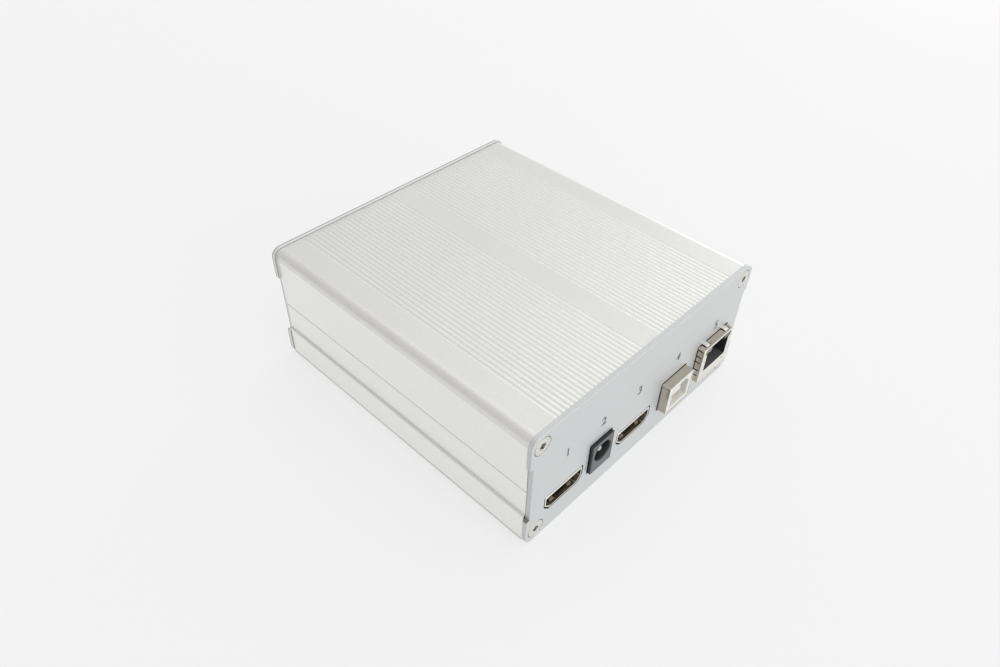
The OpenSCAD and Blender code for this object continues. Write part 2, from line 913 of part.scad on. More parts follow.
module link_chip() {
    color(chip_colour)
        for (p = board_places(link_chip_shares))
            translate(p) chip_block(link_chip_w, link_chip_w, link_chip_t, chip_edge_r);
}

module link_transformer() {
    color(black_colour)
        for (p = board_places(transformer_shares))
            translate(p) chip_block(transformer_w, transformer_l, transformer_t, chip_edge_r);
}

module port_chip() {
    color(chip_colour)
        for (p = board_places(port_chip_shares))
            translate(p) chip_block(port_chip_w, port_chip_w, port_chip_t, chip_edge_r);
}

module flash_chip() {
    color(chip_colour)
        for (p = board_places(flash_shares))
            translate(p) chip_block(flash_w, flash_l, flash_t, chip_edge_r);
}

module power_inductors() {
    color("#4a4a4c")
        for (p = board_places(inductor_shares))
            translate(p) chip_block(inductor_w, inductor_w, inductor_t, inductor_r);
}

// Round capacitors, each can standing on its square foot
module tall_capacitors() {
    color("#b7bbbf")
        for (p = board_places(capacitor_shares))
            translate(p) {
                chip_block(capacitor_base_w, capacitor_base_w, capacitor_base_h, chip_edge_r);
                cylinder(h = capacitor_h, d = capacitor_d);
            }
}

// Voltage regulators with a solder tab towards the rear
module power_regulators() {
    color(chip_colour)
        for (p = board_places(regulator_shares))
            translate(p) {
                chip_block(regulator_w, regulator_l, regulator_t, chip_edge_r);
                translate([-regulator_tab_w / 2, 0, 0])
                    cube([regulator_tab_w, regulator_l / 2 + regulator_tab_l, regulator_tab_t]);
            }
}

module clock_crystals() {
    color("#c4c4bd")
        for (p = board_places(crystal_shares))
            translate(p) chip_block(crystal_w, crystal_l, crystal_t, chip_edge_r);
}

// A row of small capacitors on each side of the main chip
module ceramic_capacitors() {
    row_x = cooler_w / 2 + ceramic_row_gap;
    color("#b79a72")
        for (p = board_places(main_chip_shares), side = [-1, 1], i = [0:ceramic_count - 1])
            translate(p + [
                side * row_x - ceramic_l / 2,
                (i - (ceramic_count - 1) / 2) * ceramic_pitch - ceramic_w / 2, 0])
                cube([ceramic_l, ceramic_w, ceramic_t]);
}

upper_shell();
lower_shell();
front_panel();
rear_panel();
front_screws();
rear_screws();
main_board();
video_out_shell();
video_out_insert();
video_out_contacts();
video_in_shell();
video_in_insert();
video_in_contacts();
power_socket_body();
power_socket_pin();
power_socket_spring();
host_port_shield();
host_port_insert();
host_port_contacts();
link_socket_shield();
link_socket_housing();
link_socket_contacts();
link_left_window();
link_right_window();
reset_switch();
reset_button();
status_light_holder();
status_light();
main_chip();
heat_pad();
heat_sink();
memory_chips();
link_chip();
link_transformer();
port_chip();
flash_chip();
power_inductors();
tall_capacitors();
power_regulators();
clock_crystals();
ceramic_capacitors();
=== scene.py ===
import math

import bmesh
import bpy
from mathutils import Matrix, Vector
from mathutils.geometry import tessellate_polygon


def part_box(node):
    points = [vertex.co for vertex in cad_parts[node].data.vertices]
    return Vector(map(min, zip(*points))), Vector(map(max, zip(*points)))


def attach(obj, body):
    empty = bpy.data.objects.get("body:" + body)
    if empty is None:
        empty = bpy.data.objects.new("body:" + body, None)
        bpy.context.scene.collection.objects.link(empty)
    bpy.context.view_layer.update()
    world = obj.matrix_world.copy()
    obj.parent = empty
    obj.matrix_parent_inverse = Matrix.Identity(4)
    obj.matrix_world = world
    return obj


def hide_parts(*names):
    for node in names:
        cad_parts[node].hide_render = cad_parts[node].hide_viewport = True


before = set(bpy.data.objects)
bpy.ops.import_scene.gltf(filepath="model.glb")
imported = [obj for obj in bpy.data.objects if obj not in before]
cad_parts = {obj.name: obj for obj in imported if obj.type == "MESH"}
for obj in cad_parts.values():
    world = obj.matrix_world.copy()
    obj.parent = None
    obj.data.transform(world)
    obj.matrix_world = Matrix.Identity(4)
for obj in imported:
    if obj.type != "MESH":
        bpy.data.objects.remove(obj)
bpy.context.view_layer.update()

# Camera
# A short lens close above the front left corner. Its place, turn and focal length were solved from
# the box's straight edges. Lengths are in millimetres, and MM turns them into metres. Only the
# lamps' and the table's are in metres from the start.
MM = 0.001
camera_aim = Vector((-26.27, -20.31, 41.0))
camera_azimuth = math.radians(-47.137)
camera_elevation = math.radians(42.511)
camera_roll = math.radians(1.629)
camera_distance = 207.745
focal_pixels = 778.967
picture_pixels = 1000
sensor_width = 36


def new_object(name, data):
    """An object of some data, placed in the scene."""
    thing = bpy.data.objects.new(name, data)
    bpy.context.scene.collection.objects.link(thing)
    return thing


backward = Vector((
    math.sin(camera_azimuth) * math.cos(camera_elevation),
    -math.cos(camera_azimuth) * math.cos(camera_elevation),
    math.sin(camera_elevation)))
level_right = (-backward).cross(Vector((0, 0, 1))).normalized()
level_up = level_right.cross(-backward)
camera_right = math.cos(camera_roll) * level_right + math.sin(camera_roll) * level_up
camera_up = math.cos(camera_roll) * level_up - math.sin(camera_roll) * level_right

camera_data = bpy.data.cameras.new("camera")
camera_data.sensor_width = sensor_width
camera_data.lens = focal_pixels / picture_pixels * sensor_width
camera_data.clip_start = 0.005
camera = new_object("camera", camera_data)
camera.matrix_world = (
    Matrix.Translation((camera_aim + backward * camera_distance) * MM)
    @ Matrix((camera_right, camera_up, backward)).transposed().to_4x4())
bpy.context.scene.camera = camera

# Studio light
# An even white room with soft lamps above, at the right and in front. The one at the right
# picks out the grooves. Behind the box at the left the room is a little darker.
room_strength = 0.86
room_dark_side = Vector((-0.72, 0.66, 0.2)).normalized()
room_light_colour = (1.0, 1.0, 1.0, 1.0)
room_dark_colour = (0.68, 0.665, 0.665, 1.0)
lamps = {
    "upper_lamp": {"place": (0.15, 0.25, 0.95), "width": 0.7, "power": 0.38},
    "side_lamp": {"place": (1.0, 0.15, 0.3), "width": 0.4, "power": 0.78},
    "front_lamp": {"place": (0.1, -1.0, 0.16), "width": 0.5, "power": 2.9},
}


def join(tree, node, inputs):
    """Gives inputs of a node their values, or links them to other nodes' outputs."""
    for label, value in inputs.items():
        if isinstance(value, bpy.types.NodeSocket):
            tree.links.new(value, node.inputs[label])
        else:
            node.inputs[label].default_value = value


def add(tree, kind, inputs=None, **settings):
    """A new node with its settings and inputs."""
    node = tree.nodes.new(kind)
    for name, value in settings.items():
        setattr(node, name, value)
    join(tree, node, inputs or {})
    return node


def maths(tree, operation, a, b):
    """The result of a Math node."""
    return add(tree, "ShaderNodeMath", {0: a, 1: b}, operation=operation).outputs[0]


def map_range(tree, value, from_low, from_high, to_low, to_high):
    """A value mapped from one range to another."""
    return add(tree, "ShaderNodeMapRange", {
        "Value": value, "From Min": from_low, "From Max": from_high, "To Min": to_low,
        "To Max": to_high}).outputs["Result"]


def mix(tree, factor, a, b):
    """A colour between two others."""
    return add(tree, "ShaderNodeMix", {"Factor": factor, "A": a, "B": b}, data_type="RGBA").outputs["Result"]


world = bpy.data.worlds.new("studio")
world.use_nodes = True
room = world.node_tree
room_place = add(room, "ShaderNodeTexCoord")
room_turn = add(
    room, "ShaderNodeVectorMath", {0: room_place.outputs["Generated"], 1: room_dark_side},
    operation="DOT_PRODUCT")
room_fade = map_range(room, room_turn.outputs["Value"], -0.2, 1.0, 0.0, 1.0)
room_colour = mix(room, room_fade, room_light_colour, room_dark_colour)
join(room, room.nodes["Background"], {"Color": room_colour, "Strength": room_strength})
bpy.context.scene.world = world
bpy.context.scene.view_settings.view_transform = "Standard"

for lamp_name, lamp in lamps.items():
    lamp_data = bpy.data.lights.new(lamp_name, "AREA")
    lamp_data.shape = "SQUARE"
    lamp_data.size = lamp["width"]
    lamp_data.energy = lamp["power"]
    lamp_object = new_object(lamp_name, lamp_data)
    lamp_object.location = lamp["place"]
    lamp_object.rotation_euler = (-Vector(lamp["place"])).to_track_quat("-Z", "Y").to_euler()

# Table top
# A smooth pale sheet under the box. It takes the box's soft shadow.
# The camera, and the metal that mirrors it, see it a little brighter than the lamps alone make it.
table_colour = (0.30, 0.302, 0.305, 1.0)
table_glow = 0.63
table_half = 3.0

table_finish = bpy.data.materials.new("table_top")
table_finish.use_nodes = True
table_tree = table_finish.node_tree
table_path = add(table_tree, "ShaderNodeLightPath")
table_mirrored = maths(
    table_tree, "MAXIMUM", table_path.outputs["Is Glossy Ray"], table_path.outputs["Is Transmission Ray"])
table_seen = maths(table_tree, "MAXIMUM", table_path.outputs["Is Camera Ray"], table_mirrored)
join(table_tree, table_tree.nodes["Principled BSDF"], {
    "Base Color": table_colour, "Roughness": 0.75, "Emission Color": (1.0, 1.0, 1.0, 1.0),
    "Emission Strength": maths(table_tree, "MULTIPLY", table_seen, table_glow)})

table_mesh = bpy.data.meshes.new("table_top")
table_mesh.from_pydata(
    [(-table_half, -table_half, 0), (table_half, -table_half, 0),
     (table_half, table_half, 0), (-table_half, table_half, 0)], [], [(0, 1, 2, 3)])
table_mesh.materials.append(table_finish)
table = new_object("table_top", table_mesh)

# Lower shell
# The deeper half of the box, an aluminium extrusion, bead blasted and anodised silver.
# Its wall steps in at a small ledge, and inside it has the board's rails and two screw channels.
low_half_w = 48.7
waist_half_w = 48.0
joint_z = 21.0
ledge_z = 11.5
wall_t = 1.6
floor_t = 1.9
low_edge_r = 1.3
foot_line_z = 1.9
top_edge_r = 3.0
ledge_r = 0.6
joint_r = 0.25
lip_outer = 46.35
lip_inner = 45.4
lip_low = 19.4
lip_high = 23.0
rail_inner = 45.7
rail_edges = (9.65, 8.75, 7.05)
channel_x = 45.0
channel_r = 2.6
channel_bore_r = 1.5
low_channel_z = 4.0
end_bore_x = 47.75
end_bore_z = 10.6
end_bore_r = 0.6
shell_top = 41.7
shell_front_y = -51.0
shell_rear_y = 51.0
shell_colour = (0.885, 0.887, 0.865)
# The bright colour and the tones under it are painted light and shade: a faint shade on the top, a dark line
# along the foot, a little shade at the ledge, deep shade in the seam between the shells, and shade that
# turns to a highlight up the rounded top edge.
shell_painted_highlight = (0.95, 0.95, 0.94)
top_painted_shade = -0.04
foot_painted_shade = -0.3
ledge_painted_shade = -0.05
ledge_edge_painted_shade = -0.08
seam_painted_shade = -0.8
shoulder_painted_shade = -0.16
shoulder_painted_highlight = 0.14


def arc(x, z, radius, start, end, steps):
    """Points along an arc, by angles in degrees."""
    angles = [math.radians(start + (end - start) * i / steps) for i in range(steps + 1)]
    return [(x + radius * math.cos(a), z + radius * math.sin(a)) for a in angles]


def circle(x, z, radius, corners):
    """A closed round outline."""
    return arc(x, z, radius, 0, 360 - 360 / corners, corners - 1)


def mirrored(points):
    """The same points on the other side of the middle, in reverse order."""
    return [(-x, z) for x, z in reversed(points)]


def outward(points, hole=False):
    """For each point of a closed outline, the step that moves it one unit away from the metal."""
    area = sum(a[0] * b[1] - b[0] * a[1] for a, b in zip(points, points[1:] + points[:1]))
    side = (1 if area > 0 else -1) * (-1 if hole else 1)
    steps = []
    for i, here in enumerate(points):
        edges = []
        for a, b in ((points[i - 1], here), (here, points[(i + 1) % len(points)])):
            along = Vector((b[0] - a[0], b[1] - a[1]))
            if along.length > 1e-9:
                along.normalize()
                edges.append(Vector((along.y, -along.x)) * side)
        total = edges[0] + edges[-1]
        steps.append(total / max(total.length_squared / 2, 0.5))
    return steps


def ring(bm, points, y, inset=0.0, hole=False):
    """One closed row of vertices at depth y, drawn into the metal by inset."""
    if inset:
        points = [(p[0] - s.x * inset, p[1] - s.y * inset) for p, s in zip(points, outward(points, hole))]
    return [bm.verts.new((x, y, z)) for x, z in points]


def tone_layer(bm):
    """The layer of painted light and shade, which makes a face brighter, up to 1, or darker, down to -1,
    than its finish.
    """
    return bm.faces.layers.float.get("painted_light") or bm.faces.layers.float.new("painted_light")


def wall(bm, first, second, smooth=None, skip=None, painted_light=0.0):
    """Faces between two rows, the narrow ones shaded smooth. Their painted light and shade may be a function
    of an edge.
    """
    layer = tone_layer(bm)
    for i in range(len(first)):
        j = (i + 1) % len(first)
        if skip and skip(first[i].co, first[j].co):
            continue
        face = bm.faces.new((first[i], first[j], second[j], second[i]))
        face.smooth = smooth if smooth is not None else (first[i].co - first[j].co).length < 1.0
        face[layer] = painted_light(first[i].co, first[j].co) if callable(painted_light) else painted_light


def cap(bm, rows, painted_light=0.0):
    """A flat face within the first row, with the other rows as its holes."""
    layer = tone_layer(bm)
    flat = [v for row in rows for v in row]
    for corners in tessellate_polygon([[Vector((v.co.x, v.co.z, 0)) for v in row] for row in rows]):
        if len({flat[c] for c in corners}) == 3:
            face = bm.faces.new([flat[c] for c in corners])
            face[layer] = painted_light


def show(bm, name, finish, sharp=40):
    """Makes an object of finished faces, with its normals turned outwards."""
    bmesh.ops.remove_doubles(bm, verts=bm.verts, dist=0.0004)
    bmesh.ops.recalc_face_normals(bm, faces=bm.faces)
    bmesh.ops.scale(bm, vec=(MM, MM, MM), verts=bm.verts)
    mesh = bpy.data.meshes.new(name)
    bm.to_mesh(mesh)
    bm.free()
    mesh.materials.append(finish)
    smooth = [face.use_smooth for face in mesh.polygons]
    mesh.set_sharp_from_angle(angle=math.radians(sharp))
    mesh.polygons.foreach_set("use_smooth", smooth)
    return new_object(name, mesh)


def scaled(tree, colour, factor):
    """A colour multiplied by a value."""
    node = add(tree, "ShaderNodeVectorMath", {0: colour, "Scale": factor}, operation="SCALE")
    return node.outputs["Vector"]


def surface(name, colour, metallic, roughness, cloud, grain, painted_highlight=None):
    """A procedural finish, varied by slow clouds (scale, strength) and grain (scale, strength, height).

    With a highlight colour given, a face attribute paints light and shade: at 1 a face has that colour as a
    painted highlight, and at -1 it is nearly black with painted shade.
    """
    material = bpy.data.materials.new(name)
    material.use_nodes = True
    tree = material.node_tree
    place = add(tree, "ShaderNodeTexCoord").outputs["Object"]
    clouds, grains = (
        add(tree, "ShaderNodeTexNoise", {"Vector": place, "Scale": scale, "Detail": detail}).outputs["Fac"]
        for scale, detail in ((cloud[0], 4), (grain[0], 2)))
    dark = [c * (1 - cloud[1]) for c in colour]
    light = [min(c * (1 + cloud[1]), 1) for c in colour]
    cloudy = mix(tree, clouds, (*dark, 1), (*light, 1))
    shade = scaled(tree, cloudy, map_range(tree, grains, 0.3, 0.7, 1 - grain[1], 1 + grain[1]))
    if painted_highlight:
        # Painted light and shade: the face attribute draws the colour towards the highlight colour or
        # darkens it.
        painted_light = add(tree, "ShaderNodeAttribute", attribute_name="painted_light").outputs["Fac"]
        shade = scaled(tree, mix(tree, painted_light, shade, (*painted_highlight, 1)), map_range(tree, painted_light, -1, 0, 0.08, 1))
    bump = add(tree, "ShaderNodeBump", {"Height": grains, "Strength": 0.6, "Distance": grain[2]})
    join(tree, tree.nodes["Principled BSDF"], {
        "Base Color": shade, "Metallic": metallic, "Normal": bump.outputs["Normal"],
        "Roughness": map_range(tree, clouds, 0.3, 0.7, roughness * 0.9, roughness * 1.1)})
    return material


channel_top = math.degrees(math.acos((rail_inner - channel_x) / channel_r))
channel_foot = 180 + math.degrees(math.asin((low_channel_z - floor_t) / channel_r))
low_half = (
    arc(low_half_w - low_edge_r, low_edge_r, low_edge_r, -90, 0, 12)
    + [(low_half_w, foot_line_z)]
    + arc(low_half_w - ledge_r, ledge_z - ledge_r, ledge_r, 0, 90, 6)
    + [(waist_half_w, ledge_z)]
    + arc(waist_half_w - joint_r, joint_z - joint_r, joint_r, 0, 90, 5)
    + [(lip_outer, joint_z), (lip_outer, lip_high), (lip_inner, lip_high), (lip_inner, lip_low),
       (waist_half_w - wall_t, lip_low), (waist_half_w - wall_t, ledge_z),
       (low_half_w - wall_t, ledge_z - wall_t), (low_half_w - wall_t, rail_edges[0]),
       (rail_inner, rail_edges[0]), (rail_inner, rail_edges[1]), (low_half_w - wall_t, rail_edges[1]),
       (low_half_w - wall_t, rail_edges[2]), (rail_inner, rail_edges[2])]
    + arc(channel_x, low_channel_z, channel_r, channel_top, channel_foot, 16))
low_outline = low_half + mirrored(low_half)
low_holes = [
    circle(side * x, z, r, corners)
    for side in (-1, 1)
    for x, z, r, corners in (
        (channel_x, low_channel_z, channel_bore_r, 32), (end_bore_x, end_bore_z, end_bore_r, 16))]

silver = surface(
    "anodised_silver", shell_colour, 1.0, 0.43, cloud=(35, 0.015), grain=(3400, 0.04, 0.00002),
    painted_highlight=shell_painted_highlight)


def shell_tone(a, b):
    """Painted light of a strip of a shell: painted shade on its flat top, its foot, its ledge and the lower
    part of its rounded top edge, a painted highlight higher on that edge, and deep painted shade in the seam
    between the shells.
    """
    middle = (a + b) / 2
    slack = 0.001
    if middle.z > shell_top - slack:
        return top_painted_shade
    if abs(middle.x) < lip_outer:
        return 0.0
    if middle.z < foot_line_z:
        return foot_painted_shade
    if abs(middle.z - ledge_z) < slack and abs(middle.x) > waist_half_w:
        return ledge_painted_shade
    if ledge_z - ledge_r < middle.z < ledge_z:
        return ledge_edge_painted_shade
    if abs(middle.z - joint_z) < slack:
        return seam_painted_shade
    if middle.z > shell_top - top_edge_r:
        share = 1 - (shell_top - middle.z) / top_edge_r
        return shoulder_painted_shade + (shoulder_painted_highlight - shoulder_painted_shade) * share ** 2
    return 0.0


def extrude(bm, outline, holes, front_y, rear_y, skip=None):
    """A straight extrusion of an outline with holes, closed at both ends."""
    ends = [(ring(bm, points, front_y), ring(bm, points, rear_y)) for points in (outline, *holes)]
    for front, rear in ends:
        wall(bm, front, rear, skip=skip, painted_light=shell_tone)
    for rows in zip(*ends):
        cap(bm, rows)


bm = bmesh.new()
extrude(bm, low_outline, low_holes, shell_front_y, shell_rear_y)
low_shell = show(bm, "lower_shell_metal", silver)
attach(low_shell, "case")
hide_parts("lower_shell")

# Upper shell
# The other extrusion, in the same silver. Its top has twenty-three rounded grooves on each side
# of a flat middle band, and its walls lean out a little to the top.
top_half_w = 48.5
high_channel_z = 38.0
groove_pitch = 1.535
groove_first = 4.4
groove_half_w = 0.66
groove_depth = 0.22
groove_count = 23
joint_gap = 0.22
wall_foot_x = 46.425
high_channel_roof = -223.8
high_channel_wall = -44.3

groove_steps = 16
groove_across = [groove_half_w * (2 * i / groove_steps - 1) for i in range(groove_steps + 1)]
groove_profile = (
    [(-groove_pitch / 2, 0)]
    + [(x, -groove_depth * math.cos(math.pi / 2 * x / groove_half_w) ** 2) for x in groove_across]
    + [(groove_pitch / 2, 0)])

grooves_outwards = []
for groove in range(groove_count):
    middle = groove_first + groove * groove_pitch
    grooves_outwards += [(middle + x, shell_top + z) for x, z in groove_profile[:-1]]
grooves_outwards.append((groove_first + (groove_count - 0.5) * groove_pitch, shell_top))
grooves_low_x = groove_first - groove_pitch / 2
grooves_high_x = grooves_outwards[-1][0]

high_half = (
    arc(waist_half_w - joint_r, joint_z + joint_gap + joint_r, joint_r, -90, 0, 5)
    + arc(top_half_w - top_edge_r, shell_top - top_edge_r, top_edge_r, 0, 90, 14)
    + list(reversed(grooves_outwards)))
high_inside = (
    arc(channel_x, high_channel_z, channel_r, high_channel_roof, high_channel_wall, 16)
    + [(wall_foot_x, joint_z + joint_gap)])
high_outline = high_half + mirrored(high_half) + mirrored(high_inside) + high_inside
high_holes = [circle(side * channel_x, high_channel_z, channel_bore_r, 32) for side in (-1, 1)]


def on_grooves(a, b):
    """Whether an edge of the outline belongs to the grooved part of the top."""
    slack = 0.001
    return all(
        p.z > shell_top - 2 * groove_depth and grooves_low_x - slack < abs(p.x) < grooves_high_x + slack
        for p in (a, b)) and a.x * b.x > 0


def node_tree(name, inputs):
    """An empty Geometry Nodes tree with a geometry input, named inputs and a geometry output."""
    tree = bpy.data.node_groups.new(name, "GeometryNodeTree")
    tree.interface.new_socket("Geometry", in_out="INPUT", socket_type="NodeSocketGeometry")
    for label, kind in inputs:
        tree.interface.new_socket(label, in_out="INPUT", socket_type=kind)
    tree.interface.new_socket("Geometry", in_out="OUTPUT", socket_type="NodeSocketGeometry")
    return tree, tree.nodes.new("NodeGroupInput"), tree.nodes.new("NodeGroupOutput")


def end_tree(tree, tree_in, tree_out, instances):
    """Ends a tree: its instances become plain faces of its metal."""
    real = add(tree, "GeometryNodeRealizeInstances", {"Geometry": instances})
    paint = add(tree, "GeometryNodeSetMaterial", {
        "Geometry": real.outputs["Geometry"], "Material": tree_in.outputs["Metal"]})
    join(tree, tree_out, {"Geometry": paint.outputs["Geometry"]})


def evaluated_mesh(piece):
    """The mesh of an object with its modifiers done."""
    bpy.context.view_layer.update()
    return bpy.data.meshes.new_from_object(piece.evaluated_get(bpy.context.evaluated_depsgraph_get()))


def run_tree(base, tree, values, name):
    """Runs a tree on an object and returns the result as a plain object."""
    modifier = base.modifiers.new(name, "NODES")
    modifier.node_group = tree
    for item in tree.interface.items_tree:
        if item.in_out == "INPUT" and item.name in values:
            modifier[item.identifier] = values[item.name]
    mesh = evaluated_mesh(base)
    mesh.name = name
    base.modifiers.remove(modifier)
    bpy.data.objects.remove(base)
    return new_object(name, mesh)


grooves_tree, tree_in, tree_out = node_tree("groove_rows", [
    ("First groove", "NodeSocketFloat"), ("Pitch", "NodeSocketFloat"),
    ("Grooves on a side", "NodeSocketInt"), ("Metal", "NodeSocketMaterial")])
both_sides = add(grooves_tree, "GeometryNodeJoinGeometry")
for side in (1, -1):
    start, step = (
        add(grooves_tree, "ShaderNodeCombineXYZ",
            {"X": maths(grooves_tree, "MULTIPLY", tree_in.outputs[label], side)}).outputs[0]
        for label in ("First groove", "Pitch"))
    row = add(grooves_tree, "GeometryNodeMeshLine", {
        "Count": tree_in.outputs["Grooves on a side"], "Start Location": start, "Offset": step})
    join(grooves_tree, both_sides, {"Geometry": row.outputs["Mesh"]})
lay = add(grooves_tree, "GeometryNodeInstanceOnPoints", {
    "Points": both_sides.outputs["Geometry"], "Instance": tree_in.outputs["Geometry"]})
end_tree(grooves_tree, tree_in, tree_out, lay.outputs["Instances"])

bm = bmesh.new()
groove_rows = [
    [bm.verts.new((x, y, shell_top + z)) for x, z in groove_profile] for y in (shell_front_y, shell_rear_y)]
for i in range(len(groove_profile) - 1):
    face = bm.faces.new((groove_rows[0][i], groove_rows[0][i + 1], groove_rows[1][i + 1], groove_rows[1][i]))
    face.smooth = True
one_groove = show(bm, "one_groove", silver)
groove_skin = run_tree(
    one_groove, grooves_tree,
    {"First groove": groove_first * MM, "Pitch": groove_pitch * MM, "Grooves on a side": groove_count,
     "Metal": silver},
    "groove_skin")

bm = bmesh.new()
bm.from_mesh(groove_skin.data)
bmesh.ops.scale(bm, vec=(1 / MM, 1 / MM, 1 / MM), verts=bm.verts)
bpy.data.objects.remove(groove_skin)
extrude(bm, high_outline, high_holes, shell_front_y, shell_rear_y, skip=on_grooves)
high_shell = show(bm, "upper_shell_metal", silver)
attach(high_shell, "case")
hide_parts("upper_shell")

# Front panel
# A milled plate of the same aluminium, blasted finer, with broken edges. Both sides are notched,
# the five openings are cut a little wider than the sockets, and four seats take the screw heads.
panel_half_w = 49.0
panel_h = 42.0
panel_t = 1.6
panel_r = 3.0
panel_break = 0.12
panel_back_break = 0.2
rim_line = 0.4
notch_depth = 1.1
notch_low = 10.3
notch_high = 31.7
notch_r = 0.3
front_y = -52.6
board_top = 8.7
opening_gap = 0.35
opening_r = 0.3
opening_break = 0.08
video_w = 15.0
video_h = 5.6
video_corner_w = 1.9
video_corner_h = 1.8
video_r = 0.5
power_w = 9.0
power_h = 11.2
host_w = 12.0
host_h = 10.9
link_w = 16.0
link_h = 13.6
screw_x = 45.0
screw_heights = (low_channel_z, high_channel_z)
seat_r = 2.95
seat_depth = 1.55
seat_break = 0.08
shank_hole_r = 1.65
# Painted light and shade on the panels: painted shade at the lower end of each notch, in the walls of the
# openings and round holes, and down the screw seats, whose rims carry a painted highlight. The bright panel
# colour below is the colour of the painted highlights.
notch_painted_shade = -0.65
gap_painted_shade = (0, -0.5, -1)
hole_painted_shade = (0, 0, -0.8)
seat_painted_light = (0.4, -0.8, -1)
panel_colour = (0.70, 0.717, 0.719)
panel_painted_highlight = (0.92, 0.925, 0.925)


def middle_x(node):
    """Middle of a solid along the front, in millimetres."""
    low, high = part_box(node)
    return (low[0] + high[0]) / 2 / MM


def filleted(corners, steps=5):
    """A closed outline from corners (x, z, radius), each rounded by an arc."""
    points = []
    for i, (x, z, radius) in enumerate(corners):
        here = Vector((x, z))
        back = (Vector(corners[i - 1][:2]) - here).normalized()
        ahead = (Vector(corners[(i + 1) % len(corners)][:2]) - here).normalized()
        if not radius:
            points.append((x, z))
            continue
        half = back.angle(ahead) / 2
        centre = here + (back + ahead).normalized() * (radius / math.sin(half))
        start = here + back * (radius / math.tan(half)) - centre
        end = here + ahead * (radius / math.tan(half)) - centre
        turn = math.atan2(start.x * end.y - start.y * end.x, start.dot(end))
        first = math.degrees(math.atan2(start.y, start.x))
        points += arc(centre.x, centre.y, radius, first, first + math.degrees(turn), steps)
    return points


def rectangle(x, low_z, w, h, r, grow=0.0):
    """A rounded rectangle that stands on low_z."""
    left, right = x - w / 2 - grow, x + w / 2 + grow
    low, high = low_z - grow, low_z + h + grow
    return filleted([(left, low, r), (right, low, r), (right, high, r), (left, high, r)])


def video_outline(x, grow, grow_up, r):
    """Front outline of a video socket, with its two lower corners cut off."""
    half = video_w / 2 + grow
    low, high = board_top - grow, board_top + video_h + grow_up
    corner_z = board_top + video_corner_h - grow / 2
    return filleted([
        (x - half + video_corner_w, low, r), (x + half - video_corner_w, low, r), (x + half, corner_z, r),
        (x + half, high, r), (x - half, high, r), (x - half, corner_z, r)])


def panel_outline():
    """Outline of an end panel with the notch in each side."""
    notch_x = panel_half_w - notch_depth
    right = [
        (panel_half_w, 0, panel_r), (panel_half_w, notch_low, notch_r), (notch_x, notch_low, notch_r),
        (notch_x, notch_high, notch_r), (panel_half_w, notch_high, notch_r),
        (panel_half_w, panel_h, panel_r)]
    left = [(-x, z, r) for x, z, r in reversed(right)]
    return filleted(right + left, steps=8)


def notch_tone(a, b):
    """Painted shade on the panel's side wall, at the shadowed lower end of a notch."""
    return notch_painted_shade if max(abs(a.z - notch_low), abs(b.z - notch_low)) < notch_r + 0.05 else 0.0


def rounded_edge(y, radius, steps=3, into=1):
    """Stations that turn a face at y into the wall behind it."""
    angles = [math.pi / 2 * i / steps for i in range(steps + 1)]
    return [(y + into * radius * (1 - math.cos(a)), radius * (1 - math.sin(a))) for a in angles]


def sleeve(bm, points, stations, hole=False, painted_lights=()):
    """A row at each station (y, inset), joined by walls. Returns the first and the last row."""
    rows = [ring(bm, points, y, inset, hole) for y, inset in stations]
    for i, (a, b) in enumerate(zip(rows, rows[1:])):
        broken = stations[i][1] != stations[i + 1][1]
        wall(bm, a, b, smooth=True if broken else None, painted_light=painted_lights[i] if i < len(painted_lights) else 0.0)
    return rows[0], rows[-1]


def panel(name, face_y, into, openings, round_holes, finish, edge_painted_light):
    """An end panel from its outer face inwards, with its openings, round holes and screw seats."""
    bm = bmesh.new()
    back_y = face_y + into * panel_t
    back_edge = rounded_edge(back_y, panel_back_break, 1, -into)[::-1]
    outer = sleeve(
        bm, panel_outline(),
        rounded_edge(face_y, panel_break, 2, into) + [(face_y + into * rim_line, 0)] + back_edge,
        painted_lights=edge_painted_light)
    opening_edge = rounded_edge(face_y, opening_break, 2, into) + [(back_y, 0)]
    seat_rim = seat_r - shank_hole_r
    seat_edge = [
        (face_y, seat_rim + seat_break), (face_y + into * seat_break, seat_rim),
        (face_y + into * seat_depth, 0), (back_y, 0)]
    holes = [(points, opening_edge, gap_painted_shade) for points in openings]
    holes += [(circle(x, z, r, 40), opening_edge, hole_painted_shade) for x, z, r in round_holes]
    holes += [
        (circle(x, z, shank_hole_r, 48), seat_edge, seat_painted_light)
        for x in (-screw_x, screw_x) for z in screw_heights]
    ends = [outer] + [sleeve(bm, points, edge, hole=True, painted_lights=painted_lights) for points, edge, painted_lights in holes]
    for rows in zip(*ends):
        cap(bm, rows)
    return show(bm, name, finish)


panel_finish = surface(
    "panel_silver", panel_colour, 0.5, 0.42, cloud=(40, 0.012), grain=(4200, 0.045, 0.00002),
    painted_highlight=panel_painted_highlight)
video_places = [middle_x("video_out_shell"), middle_x("video_in_shell")]
power_x = middle_x("power_socket_body")
host_x = middle_x("host_port_shield")
link_x = middle_x("link_socket_shield")
front_openings = [video_outline(x, opening_gap, opening_gap, video_r) for x in video_places]
front_openings += [
    rectangle(x, board_top, w, h, opening_r, opening_gap)
    for x, w, h in ((power_x, power_w, power_h), (host_x, host_w, host_h), (link_x, link_w, link_h))]
# The front plate's broken front edge gets a faint painted highlight, and its side walls get painted shade at
# the notches.
front_plate = panel(
    "front_panel_plate", front_y, 1, front_openings, [], panel_finish, (0.1, 0.1, notch_tone, notch_tone))
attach(front_plate, "case")
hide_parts("front_panel")

